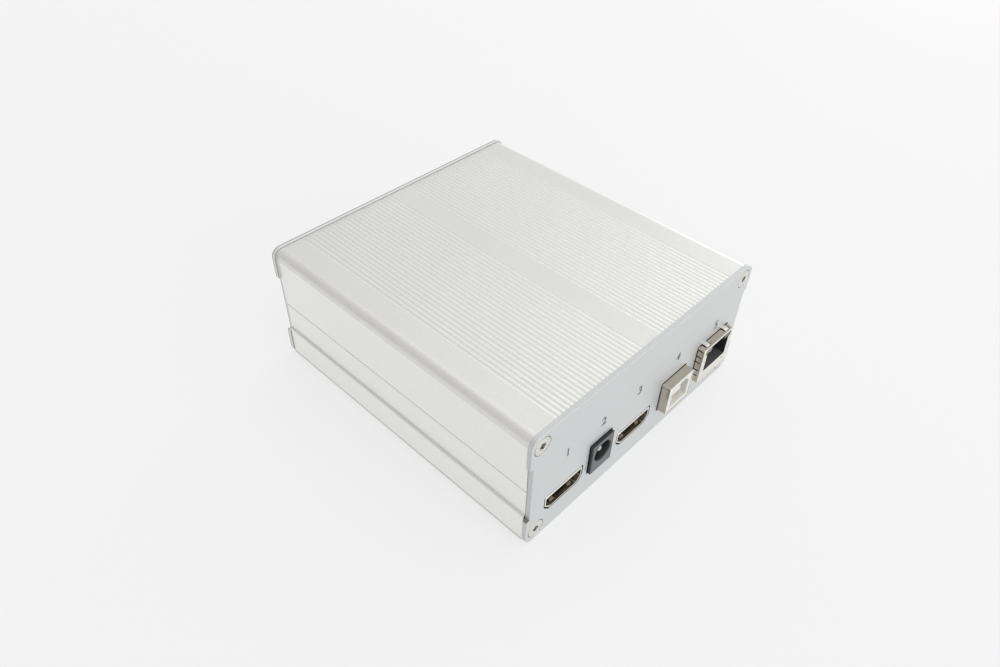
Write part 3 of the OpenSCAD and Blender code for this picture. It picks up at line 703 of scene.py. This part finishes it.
# Rear panel
# The same plate at the other end, with holes for the reset button and the status light.
# It is screwed on in the same way.
rear_y = 52.6
reset_x = middle_x("reset_button")
light_x = middle_x("status_light")
control_z = board_top + 3.2
reset_hole_r = 1.8
light_hole_r = 1.55
# The rear plate gets painted shade on its broken edges and a painted highlight along its side wall.
rear_edge_painted_light = (-0.7, -0.7, -0.6, 0.8, -0.5)
rear_plate = panel(
    "rear_panel_plate", rear_y, -1, [],
    [(reset_x, control_z, reset_hole_r), (light_x, control_z, light_hole_r)],
    panel_finish, rear_edge_painted_light)
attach(rear_plate, "case")
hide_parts("rear_panel")

# Panel screws
# Eight countersunk steel screws with six-lobed recesses, nickel plated. Each goes through its
# panel into a channel of a shell. They stand at four places of a panel, each turned by chance.
screw_head_r = 2.78
screw_head_t = 1.5
screw_shank_r = 1.45
screw_l = 10.0
recess_mean_r = 1.08
recess_lobe = 0.2
recess_depth = 1.0
screw_colour = (0.73, 0.72, 0.685)
# Painted light and shade on the screws: the bright colour is a painted highlight, put on the mouth of the
# recess and the edge of the head; painted shade fills the recess, runs as a dark line round the head's rim
# and covers the shank and both ends.
screw_painted_highlight = (0.95, 0.93, 0.90)
recess_painted_light = (-0.9, -0.9, -0.5, 0.6)
head_painted_light = (0, 0.3, -0.4)
shank_painted_shade = (-0.8, -0.8, -0.8, -0.8)
pole_painted_shade = -0.9
screw_finish = surface(
    "screw_nickel", screw_colour, 1.0, 0.28, cloud=(500, 0.06), grain=(9000, 0.05, 0.000008),
    painted_highlight=screw_painted_highlight)


def screw_mesh(finish):
    """One screw with its head's face at the origin, pointing along Y."""
    bm = bmesh.new()
    around = [math.radians(360 * i / 72) for i in range(72)]

    def row(radius, y):
        return [bm.verts.new((radius(a) * math.cos(a), y, radius(a) * math.sin(a))) for a in around]

    def lobes(share):
        return lambda a: share * (recess_mean_r + recess_lobe * math.cos(6 * a))

    def even(r):
        return lambda a: r

    rows = [
        row(lobes(0.02), recess_depth + 0.25), row(lobes(0.9), recess_depth),
        row(lobes(0.97), recess_depth * 0.9), row(lobes(1.0), 0.06), row(lobes(1.05), 0.0),
        row(even(screw_head_r - 0.15), 0.0), row(even(screw_head_r - 0.03), 0.05),
        row(even(screw_head_r), 0.15), row(even(screw_shank_r), screw_head_t),
        row(even(screw_shank_r), screw_l - 0.4), row(even(screw_shank_r - 0.4), screw_l),
        row(even(0.02), screw_l)]
    for a, b, painted_light in zip(rows, rows[1:], recess_painted_light + head_painted_light + shank_painted_shade):
        wall(bm, a, b, smooth=True, painted_light=painted_light)
    for pole in (rows[0], rows[-1]):
        bm.faces.new(pole)[tone_layer(bm)] = pole_painted_shade
    return show(bm, "one_screw", finish, sharp=35)


screws_tree, tree_in, tree_out = node_tree("screw_places", [
    ("Distance across", "NodeSocketFloat"), ("Distance up", "NodeSocketFloat"),
    ("Middle", "NodeSocketVector"), ("Turn", "NodeSocketFloat"), ("Seed", "NodeSocketInt"),
    ("Metal", "NodeSocketMaterial")])
places = add(screws_tree, "GeometryNodeMeshGrid", {
    "Size X": tree_in.outputs["Distance across"], "Size Y": tree_in.outputs["Distance up"],
    "Vertices X": 2, "Vertices Y": 2})
stand = add(screws_tree, "GeometryNodeTransform", {
    "Geometry": places.outputs["Mesh"], "Translation": tree_in.outputs["Middle"],
    "Rotation": (math.pi / 2, 0, 0)})
face_turn = add(screws_tree, "ShaderNodeCombineXYZ", {"Z": tree_in.outputs["Turn"]})
lay = add(screws_tree, "GeometryNodeInstanceOnPoints", {
    "Points": stand.outputs["Geometry"], "Instance": tree_in.outputs["Geometry"],
    "Rotation": face_turn.outputs[0]})
chance = add(
    screws_tree, "FunctionNodeRandomValue", {3: 2 * math.pi, "Seed": tree_in.outputs["Seed"]},
    data_type="FLOAT")
turned = add(screws_tree, "ShaderNodeCombineXYZ", {"Y": chance.outputs[1]})
spin = add(screws_tree, "GeometryNodeRotateInstances", {
    "Instances": lay.outputs["Instances"], "Rotation": turned.outputs[0], "Local Space": True})
end_tree(screws_tree, tree_in, tree_out, spin.outputs["Instances"])

for node, face_y, turn, seed in (("front_screws", front_y, 0.0, 3), ("rear_screws", rear_y, math.pi, 8)):
    screws = run_tree(
        screw_mesh(screw_finish), screws_tree,
        {"Distance across": 2 * screw_x * MM, "Distance up": (screw_heights[1] - screw_heights[0]) * MM,
         "Middle": (0.0, face_y * MM, sum(screw_heights) / 2 * MM), "Turn": turn, "Seed": seed,
         "Metal": screw_finish},
        node + "_steel")
    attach(screws, "case")
    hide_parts(node)

# Circuit board
# Green glass-fibre board with copper tracks under its lacquer, slid into the lower shell's rails.
# It carries every socket, and the solid's own shape is kept.
board_colour = (0.02, 0.16, 0.06)
board_finish = surface(
    "board_lacquer", board_colour, 0.0, 0.35, cloud=(120, 0.2), grain=(2500, 0.1, 0.00001))
board_tree = board_finish.node_tree
board_place = add(board_tree, "ShaderNodeTexCoord")
tracks = add(board_tree, "ShaderNodeTexBrick", {
    "Vector": board_place.outputs["Object"], "Scale": 90, "Mortar Size": 0.03,
    "Color1": (0.02, 0.15, 0.055, 1), "Color2": (0.015, 0.12, 0.045, 1), "Mortar": (0.06, 0.30, 0.12, 1)})
join(board_tree, board_tree.nodes["Principled BSDF"], {"Base Color": tracks.outputs["Color"]})


def dress(nodes, finish):
    """Gives solids that keep their own shape a finish."""
    for node in nodes:
        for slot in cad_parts[node].material_slots:
            slot.material = finish


dress(["main_board"], board_finish)

# Chips and small pieces on the board
# Moulded chips, a finned cooler on a soft pad, metal cans, and fired capacitors, all soldered on.
# They lie inside the closed box, so their solids keep their own shapes.
for solids, name, colour, metallic, roughness, cloud, grain in (
        (["main_chip", "memory_chips", "link_chip", "port_chip", "flash_chip", "power_regulators"],
         "chip_resin", (0.022, 0.023, 0.025), 0.0, 0.55, (300, 0.15), (9000, 0.15, 0.00001)),
        (["link_transformer", "reset_switch", "status_light_holder"],
         "moulded_black", (0.02, 0.021, 0.024), 0.0, 0.45, (200, 0.15), (6000, 0.12, 0.00001)),
        (["heat_pad"],
         "pad_silicone", (0.42, 0.48, 0.55), 0.0, 0.85, (400, 0.06), (3000, 0.06, 0.00003)),
        (["heat_sink"],
         "cooler_aluminium", (0.42, 0.43, 0.44), 1.0, 0.4, (90, 0.05), (5000, 0.06, 0.00002)),
        (["power_inductors"],
         "ferrite", (0.07, 0.07, 0.072), 0.0, 0.6, (350, 0.2), (5000, 0.15, 0.00003)),
        (["tall_capacitors", "clock_crystals"],
         "can_metal", (0.55, 0.55, 0.56), 1.0, 0.3, (200, 0.05), (7000, 0.04, 0.00001)),
        (["ceramic_capacitors"],
         "fired_ceramic", (0.45, 0.32, 0.19), 0.0, 0.5, (500, 0.15), (6000, 0.1, 0.00001))):
    dress(solids, surface(name, colour, metallic, roughness, cloud, grain))

# Video sockets
# Folded nickel-plated sheet with a rolled front lip, spring leaves pressed in, and a black tongue
# with two rows of gilded contacts. Both stand on the board, flush with the panel's face.
video_sheet = 0.45
video_top_lip = 0.8
video_lip_r = 0.16
tongue_w = 11.2
tongue_t = 1.2
tongue_rise = 0.4
tongue_y = front_y + 1.6
leaf_x = 3.6
leaf_l = 5.5
leaf_t = 0.15
roof_leaf_y = front_y + 1.2
roof_leaf_w = 2.0
roof_leaf_bulge = -0.4
floor_leaf_y = front_y + 0.9
floor_leaf_w = 1.6
floor_leaf_bulge = 0.45
nickel_colour = (0.57, 0.52, 0.45)
# The bright nickel colour is the colour of painted highlights.
nickel_painted_highlight = (0.93, 0.92, 0.86)
tongue_colour = (0.075, 0.068, 0.058)
gilding_colour = (0.72, 0.52, 0.22)
nickel = surface(
    "plated_sheet", nickel_colour, 1.0, 0.2, cloud=(260, 0.07), grain=(5200, 0.05, 0.000012),
    painted_highlight=nickel_painted_highlight)
tongue_resin = surface(
    "tongue_resin", tongue_colour, 0.0, 0.42, cloud=(300, 0.12), grain=(7000, 0.12, 0.00001))
gilding = surface(
    "gilded_contact", gilding_colour, 1.0, 0.3, cloud=(700, 0.06), grain=(8000, 0.05, 0.00001))


def bar(bm, points, stations):
    """A sleeve that is closed at both ends."""
    for row in sleeve(bm, points, stations):
        cap(bm, [row])


def outer_wall(face_y, back_y, radius, back_break):
    """Stations of a socket's outside, rounded at its face and broken at its back."""
    return rounded_edge(face_y, radius) + [(back_y - back_break, 0), (back_y, back_break)]


def hollow(bm, walls, face_painted_light=0.0, bottom_painted_shade=0.0):
    """A body with blind holes in its face, from the points, stations and painted light and shade of every
    wall; its face and its hole bottoms get painted light and shade of their own.

    The outside comes first, and each hole after it.
    """
    ends = [sleeve(bm, points, stations, i > 0, painted_lights) for i, (points, stations, painted_lights) in enumerate(walls)]
    cap(bm, [first for first, last in ends], face_painted_light)
    for i, (first, last) in enumerate(ends):
        cap(bm, [last], bottom_painted_shade if i else 0.0)


def video_cavity(x, r):
    """Front outline of the space inside a video socket's sheet."""
    return video_outline(x, -video_sheet, -video_top_lip, r)


def leaf(bm, x, z, width, start_y, length, bulge, thickness, painted_light):
    """A spring leaf along Y that bows off its wall by bulge."""
    steps = 10
    rows = []
    for i in range(steps + 1):
        share = i / steps
        lift = bulge * math.sin(math.pi * min(share * 1.15, 1.0))
        y = start_y + length * share
        low, high = sorted((z + lift, z + lift + math.copysign(thickness, bulge)))
        rows.append([bm.verts.new((x + sx * width / 2, y, height))
                     for sx, height in ((-1, low), (1, low), (1, high), (-1, high))])
    for a, b in zip(rows, rows[1:]):
        wall(bm, a, b, smooth=True, painted_light=painted_light)
    for end in (rows[0], rows[-1]):
        bm.faces.new(end)[tone_layer(bm)] = painted_light


def lip_tone(a, b):
    """Painted highlight along the upper part of a video socket's front lip."""
    return 0.9 if min(a.z, b.z) > board_top + video_corner_h - 0.1 else 0.0


video_back_y = front_y + 11.6
video_inner_back_y = video_back_y - video_sheet
video_block_y = video_inner_back_y - 3.6
video_floor = board_top + video_sheet
video_ceiling = board_top + video_h - video_top_lip
tongue_low_z = (video_floor + video_ceiling) / 2 + tongue_rise - tongue_t / 2

for node, x in zip(("video_out", "video_in"), video_places):
    bm = bmesh.new()
    # Painted light on each sheet: a highlight along the upper lip and across the face, painted shade on the
    # outer walls behind the panel and at the back of the cavity, and faint shade and light on the cavity's
    # walls.
    hollow(bm, [
        (video_outline(x, 0.0, 0.0, video_r), outer_wall(front_y, video_back_y, video_lip_r, 0.1),
         (lip_tone, lip_tone, -0.5, -0.95, -0.9)),
        (video_cavity(x, 0.35), rounded_edge(front_y, video_lip_r / 2, 2) + [(video_inner_back_y, 0)],
         (lip_tone, -0.1, 0.1))], face_painted_light=0.8, bottom_painted_shade=-0.5)
    video_shell = show(bm, node + "_sheet", nickel)
    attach(video_shell, "case")
    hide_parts(node + "_shell")

    bm = bmesh.new()
    for middle in (x - leaf_x, x + leaf_x):
        leaf(bm, middle, video_ceiling - 0.02, roof_leaf_w, roof_leaf_y, leaf_l, roof_leaf_bulge,
             leaf_t, painted_light=0.0)
        # The leaves on the floor get a little painted shade.
        leaf(bm, middle, video_floor + 0.02, floor_leaf_w, floor_leaf_y, leaf_l, floor_leaf_bulge,
             leaf_t, painted_light=-0.25)
    leaves = show(bm, node + "_leaves", nickel)
    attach(leaves, "case")

    bm = bmesh.new()
    bar(bm, video_cavity(x, 0.3),
        [(video_block_y, 0.15), (video_block_y + 0.15, 0.02), (video_inner_back_y - 0.05, 0.02)])
    bar(bm, rectangle(x, tongue_low_z, tongue_w, tongue_t, 0.12),
        [(tongue_y, 0.3), (tongue_y + 0.35, 0.0), (video_block_y + 0.3, 0.0)])
    insert = show(bm, node + "_tongue", tongue_resin)
    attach(insert, "case")
    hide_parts(node + "_insert")
    dress([node + "_contacts"], gilding)

# Power socket
# A moulded black body with a round bore for the plug. A plated pin stands in its middle,
# and a flat spring lies along its left side.
power_face_y = front_y - 1.05
power_back_y = power_face_y + 14.2
power_bore_r = 3.25
power_bore_z = board_top + 6.6
power_bore_y = power_face_y + 9.4
power_break = 0.2
pin_r = 1.0
pin_tip_r = 0.6
pin_tip_y = power_face_y + 0.9
power_colour = (0.022, 0.024, 0.028)
# The lighter grey is the colour of painted highlights.
power_painted_highlight = (0.14, 0.15, 0.158)
pin_colour = (0.60, 0.58, 0.53)
power_resin = surface(
    "power_resin", power_colour, 0.0, 0.38, cloud=(200, 0.12), grain=(5200, 0.14, 0.00002),
    painted_highlight=power_painted_highlight)

bm = bmesh.new()
# Painted light on the moulding: a highlight on its front edge and on the mouth of the bore, a face lighter
# than its sides, and painted shade deep in the bore and at its bottom.
hollow(bm, [
    (rectangle(power_x, board_top, power_w, power_h, 0.12),
     outer_wall(power_face_y, power_back_y, power_break, power_break), (1, 1, 0.3)),
    (circle(power_x, power_bore_z, power_bore_r, 64),
     [(power_face_y, 0.35), (power_face_y + 0.1, 0.22), (power_face_y + 0.4, 0.0), (power_bore_y, 0.0)],
     (0.5, 0.0, -0.75))], face_painted_light=0.75, bottom_painted_shade=-0.8)
power_body = show(bm, "power_socket_moulding", power_resin)
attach(power_body, "case")
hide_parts("power_socket_body")

polished = surface("polished_pin", pin_colour, 1.0, 0.2, cloud=(500, 0.05), grain=(7000, 0.04, 0.000005))
dress(["power_socket_spring"], polished)
bm = bmesh.new()
bar(bm, circle(power_x, power_bore_z, pin_r, 40),
    rounded_edge(pin_tip_y, pin_tip_r, 6)[1:] + [(power_bore_y, 0)])
pin = show(bm, "power_socket_contact_pin", polished)
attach(pin, "case")
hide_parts("power_socket_pin")

# Square host port
# A folded plated shield around a cream insert. The insert has the bevelled plug opening
# and a central block with two contacts above it and two below.
host_face_y = front_y - 3.0
host_back_y = host_face_y + 16.2
host_sheet = 0.35
host_inner_w = host_w - 2 * host_sheet
host_inner_h = host_h - 2 * host_sheet
host_inner_back_y = host_back_y - host_sheet
host_inner_roof = board_top + host_h - host_sheet
host_middle = board_top + host_h / 2
host_slot_y = (host_face_y + 0.15, host_face_y + 5.8)
host_slot_low = (host_inner_roof - 0.25, host_inner_roof - 1.7)
insert_y = host_face_y + 0.12
insert_gap = 0.02
plug_half_w = 4.25
plug_half_h = 3.9
plug_bevel = 1.6
plug_r = 0.2
plug_end_y = insert_y + 9.0
block_w = 5.6
block_h = 3.2
cream_colour = (0.97, 0.96, 0.91)
cream = surface("cream_resin", cream_colour, 0.0, 0.45, cloud=(150, 0.02), grain=(4500, 0.04, 0.00001))

bm = bmesh.new()
# Painted light on the shield: a highlight on its front edges and face, and painted shade on its inner walls.
hollow(bm, [
    (rectangle(host_x, board_top, host_w, host_h, 0.55),
     outer_wall(host_face_y, host_back_y, 0.12, 0.1), (1, 1, 0.8)),
    (rectangle(host_x, board_top + host_sheet, host_inner_w, host_inner_h, 0.3),
     rounded_edge(host_face_y, 0.08, 2) + [(host_inner_back_y, 0)], (1, 0, -0.5))], face_painted_light=1)
host_shield = show(bm, "host_port_sheet", nickel)


def cut(piece, prisms):
    """Cuts prisms out of a closed piece. Each has its lowest x, its highest x and its (y, z) corners."""
    bm = bmesh.new()
    for low_x, high_x, corners in prisms:
        low = [bm.verts.new(Vector((low_x, y, z)) * MM) for y, z in corners]
        high = [bm.verts.new(Vector((high_x, y, z)) * MM) for y, z in corners]
        bm.faces.new(low)
        bm.faces.new(high)
        for i in range(len(corners)):
            bm.faces.new((low[i - 1], low[i], high[i], high[i - 1]))
    bmesh.ops.recalc_face_normals(bm, faces=bm.faces)
    mesh = bpy.data.meshes.new("cutter")
    bm.to_mesh(mesh)
    bm.free()
    cutter = new_object("cutter", mesh)
    modifier = piece.modifiers.new("cut", "BOOLEAN")
    modifier.operation = "DIFFERENCE"
    modifier.solver = "EXACT"
    modifier.object = cutter
    result = evaluated_mesh(piece)
    piece.modifiers.remove(modifier)
    piece.data = result
    bpy.data.objects.remove(cutter)


side_slot = [
    (host_slot_y[0], host_slot_low[0]), (host_slot_y[1], host_slot_low[1]),
    (host_slot_y[1], host_inner_roof), (host_slot_y[0], host_inner_roof)]
cut(host_shield, [
    (*sorted((host_x + side * (host_inner_w / 2 - 0.01), host_x + side * (host_w / 2 + 1))), side_slot)
    for side in (-1, 1)])
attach(host_shield, "case")
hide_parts("host_port_shield")

bm = bmesh.new()
right_half = [
    (plug_half_w, -plug_half_h), (plug_half_w, plug_half_h - plug_bevel),
    (plug_half_w - plug_bevel, plug_half_h)]
plug_opening = filleted([
    (host_x + x, host_middle + z, plug_r) for x, z in right_half + mirrored(right_half)])
hollow(bm, [
    (rectangle(host_x, board_top + host_sheet, host_inner_w, host_inner_h, 0.3, -insert_gap),
     rounded_edge(insert_y, 0.1, 2) + [(host_inner_back_y - 0.05, 0)], ()),
    (plug_opening, rounded_edge(insert_y, 0.15, 2) + [(plug_end_y, 0)], ())])
bar(bm, rectangle(host_x, host_middle - block_h / 2, block_w, block_h, 0.15),
    [(insert_y + 1.2, 0.3), (insert_y + 1.5, 0), (plug_end_y + 0.1, 0)])
host_insert = show(bm, "host_port_block", cream)
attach(host_insert, "case")
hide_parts("host_port_insert")
dress(["host_port_contacts"], gilding)

# Link socket
# A folded plated shield with spring fingers cut free in its roof and sides, over a black housing.
# Its opening has a latch slot above, and two lamp windows sit in the upper corners.
link_face_y = front_y - 2.4
link_back_y = link_face_y + 21.5
link_sheet = 0.3
link_inner_w = link_w - 2 * link_sheet
link_inner_y = link_face_y + link_sheet
link_inner_back_y = link_back_y - link_sheet
link_break = 0.2
link_sill = 3.9
link_opening_w = 12.0
link_opening_h = 7.1
link_latch_w = 6.6
link_latch_top = 13.0
window_w = 3.3
window_h = 1.8
window_x = 5.15
window_z = board_top + 12.0
window_gap = 0.02
link_corner_w = 13.7
link_corner_top = 13.0
dimple_x = link_x + 5.2
dimple_z = board_top + 2.3
dimple_r = 0.38
slit_t = 0.42
slit_y = (link_face_y + 0.7, link_face_y + 4.3)
side_slit_shares = (0.2, 0.36, 0.58, 0.74, 0.92)
finger_x = 0.32 * link_w
finger_w = 2.2
finger_l = 3.6


def stepped_opening(upper_w, upper_top, r):
    """Front outline of the plug opening, with a part of another width above it."""
    step_z = link_sill + link_opening_h
    right_half = [
        (link_opening_w / 2, link_sill), (link_opening_w / 2, step_z), (upper_w / 2, step_z),
        (upper_w / 2, upper_top)]
    return filleted([(link_x + x, board_top + z, r) for x, z in right_half + mirrored(right_half)])


def slit(low_x, high_x, low_z, high_z):
    """A prism for cut(), as long as the spring fingers."""
    return low_x, high_x, [(slit_y[0], low_z), (slit_y[1], low_z), (slit_y[1], high_z), (slit_y[0], high_z)]


bm = bmesh.new()
# Painted light on the shield: a highlight on its front edges, on the edges of its openings and across its
# face, and a little painted shade inside the openings.
outer_first, outer_last = sleeve(
    bm, rectangle(link_x, board_top, link_w, link_h, 0.45),
    outer_wall(link_face_y, link_back_y, link_break, link_break), painted_lights=(0.9, 0.9, 0.5))
plate_holes = [
    sleeve(bm, points, rounded_edge(link_face_y, 0.08, 2) + [(link_inner_y, 0)],
           hole=True, painted_lights=(1, 0.5, -0.3))
    for points in (
        stepped_opening(link_corner_w, link_corner_top, 0.2), circle(dimple_x, dimple_z, dimple_r, 20))]
inner_first, inner_last = sleeve(
    bm, rectangle(link_x, board_top + 0.02, link_inner_w, link_h - link_sheet - 0.02, 0.2),
    [(link_inner_y, 0), (link_inner_back_y, 0)], hole=True)
cap(bm, [outer_first] + [first for first, last in plate_holes], painted_light=0.7)
cap(bm, [inner_first] + [last for first, last in plate_holes])
cap(bm, [inner_last])
cap(bm, [outer_last])
link_shield = show(bm, "link_socket_sheet", nickel)
slits = []
for side in (-1, 1):
    for x in (link_x + side * finger_x - finger_w / 2, link_x + side * finger_x + finger_w / 2):
        slits.append(slit(x - slit_t / 2, x + slit_t / 2, board_top + link_h - 1, board_top + link_h + 1))
    near, far = sorted((link_x + side * (link_w / 2 - 0.5), link_x + side * (link_w / 2 + 1)))
    for share in side_slit_shares:
        slits.append(slit(near, far, board_top + share * link_h, board_top + share * link_h + slit_t))
cut(link_shield, slits)
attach(link_shield, "case")
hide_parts("link_socket_shield")

bm = bmesh.new()
# Each finger carries a painted highlight.
for side in (-1, 1):
    leaf(bm, link_x + side * finger_x, board_top + link_h - 0.05, finger_w - slit_t, slit_y[0], finger_l,
         bulge=0.22, thickness=0.12, painted_light=1.0)
fingers = show(bm, "link_socket_fingers", nickel)
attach(fingers, "case")

housing_y = link_inner_y + 0.02
housing_plug_l = 12.0
housing_pocket_l = 6.0
housing_colour = (0.03, 0.032, 0.037)
# The lighter grey is the colour of the painted highlight on the floor of the plug opening.
housing_painted_highlight = (0.16, 0.165, 0.17)
housing_resin = surface(
    "housing_resin", housing_colour, 0.0, 0.4, cloud=(300, 0.12), grain=(7000, 0.12, 0.00001),
    painted_highlight=housing_painted_highlight)


def window_outline(side, grow):
    """Front outline of a lamp window, or of its pocket in the housing."""
    return rectangle(link_x + side * window_x, window_z - window_h / 2, window_w, window_h, 0.15, grow)


def floor_tone(a, b):
    """Painted light of the plug opening's walls: a highlight on its floor."""
    return 0.8 if max(a.z, b.z) < board_top + link_sill + 0.01 else 0.0


bm = bmesh.new()
hollow(bm, [
    (rectangle(link_x, board_top + 0.04, link_inner_w - 0.1, link_h - link_sheet - 0.1, 0.2),
     [(housing_y, 0), (link_inner_back_y - 0.05, 0)], ()),
    (stepped_opening(link_latch_w, link_latch_top, 0.15),
     [(housing_y, 0), (housing_y + housing_plug_l, 0)], (floor_tone,)),
    *((window_outline(side, 0.05), [(housing_y, 0), (housing_y + housing_pocket_l, 0)], ())
      for side in (-1, 1))])
link_housing = show(bm, "link_socket_moulding", housing_resin)
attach(link_housing, "case")
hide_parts("link_socket_housing")
dress(["link_socket_contacts"], gilding)

left_window_colour = (0.45, 0.34, 0.30)
right_window_colour = (0.07, 0.12, 0.10)
for node, side, colour in (
        ("link_left_window", -1, left_window_colour), ("link_right_window", 1, right_window_colour)):
    window_finish = surface(
        node + "_resin", colour, 0.0, 0.22, cloud=(400, 0.06), grain=(3000, 0.04, 0.00001))
    window_finish.node_tree.nodes["Principled BSDF"].inputs["Transmission Weight"].default_value = 0.45
    bm = bmesh.new()
    bar(bm, window_outline(side, -window_gap),
        rounded_edge(link_face_y + 0.05, 0.2) + [(link_face_y + 6.2, 0)])
    window = show(bm, node + "_guide", window_finish)
    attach(window, "case")
    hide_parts(node)

# Reset button
# A turned black pin with a domed end, held behind the rear panel by its collar.
# It slides into the switch on the board.
button_tail_y, button_end_y = (corner[1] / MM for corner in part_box("reset_button"))
button_r = 1.5
button_tail_break = 0.2
collar_y = rear_y - panel_t - 0.35
collar_t = 0.8
collar_rise = 0.8
button_colour = (0.028, 0.026, 0.026)
button_resin = surface(
    "button_resin", button_colour, 0.0, 0.42, cloud=(300, 0.12), grain=(7000, 0.12, 0.00001))

bm = bmesh.new()
bar(bm, circle(reset_x, control_z, button_r, 40), [
    (button_tail_y, button_tail_break), (button_tail_y + button_tail_break, 0),
    (collar_y - collar_t, 0), (collar_y - collar_t, -collar_rise), (collar_y, -collar_rise), (collar_y, 0),
    (button_end_y - 0.4, 0), (button_end_y - 0.15, 0.12), (button_end_y - 0.03, 0.4), (button_end_y, 0.8)])
button = show(bm, "reset_button_pin", button_resin)
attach(button, "button")
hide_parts("reset_button")

# Status light
# A clear green light guide with a domed end, pushed into its holder from behind the rear panel.
# Only its tip shows.
light_back_y, light_end_y = (corner[1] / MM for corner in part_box("status_light"))
light_r = 1.5
light_back_break = 0.1
light_colour = (0.45, 0.68, 0.42)
light_finish = surface(
    "light_guide_resin", light_colour, 0.0, 0.15, cloud=(300, 0.05), grain=(3000, 0.03, 0.000005))
light_back = [(light_back_y, light_back_break), (light_back_y + light_back_break, 0)]
light_dome = rounded_edge(light_end_y, light_r, 8, -1)[1:]

bm = bmesh.new()
bar(bm, circle(light_x, control_z, light_r, 40), light_back + light_dome[::-1])
light_finish.node_tree.nodes["Principled BSDF"].inputs["Transmission Weight"].default_value = 0.6
light = show(bm, "status_light_guide", light_finish)
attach(light, "case")
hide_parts("status_light")

# Socket numbers
# Plain numerals from one to five, printed in grey ink on the front panel above the sockets.
ink_colour = (0.14, 0.145, 0.15)
ink = surface("grey_ink", ink_colour, 0.0, 0.5, cloud=(800, 0.1), grain=(6000, 0.1, 0.000005))
numeral_h = 3.0
font_share = 0.72
numeral_extra = 0.09
numeral_low_z = 25.3
ink_t = 0.04
for number, x in enumerate((video_places[0], power_x, video_places[1], host_x, link_x), start=1):
    letters = bpy.data.curves.new("numeral", "FONT")
    letters.body = str(number)
    letters.align_x = "CENTER"
    letters.size = numeral_h / font_share
    letters.offset = numeral_extra
    letters.extrude = ink_t / 2
    letters.resolution_u = 4
    flat = new_object("numeral", letters)
    mesh = evaluated_mesh(flat)
    bpy.data.objects.remove(flat)
    mesh.transform(Matrix(((1, 0, 0, x), (0, 0, 1, front_y), (0, 1, 0, numeral_low_z), (0, 0, 0, 1))))
    bm = bmesh.new()
    bm.from_mesh(mesh)
    numeral = show(bm, f"socket_number_{number}", ink)
    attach(numeral, "case")
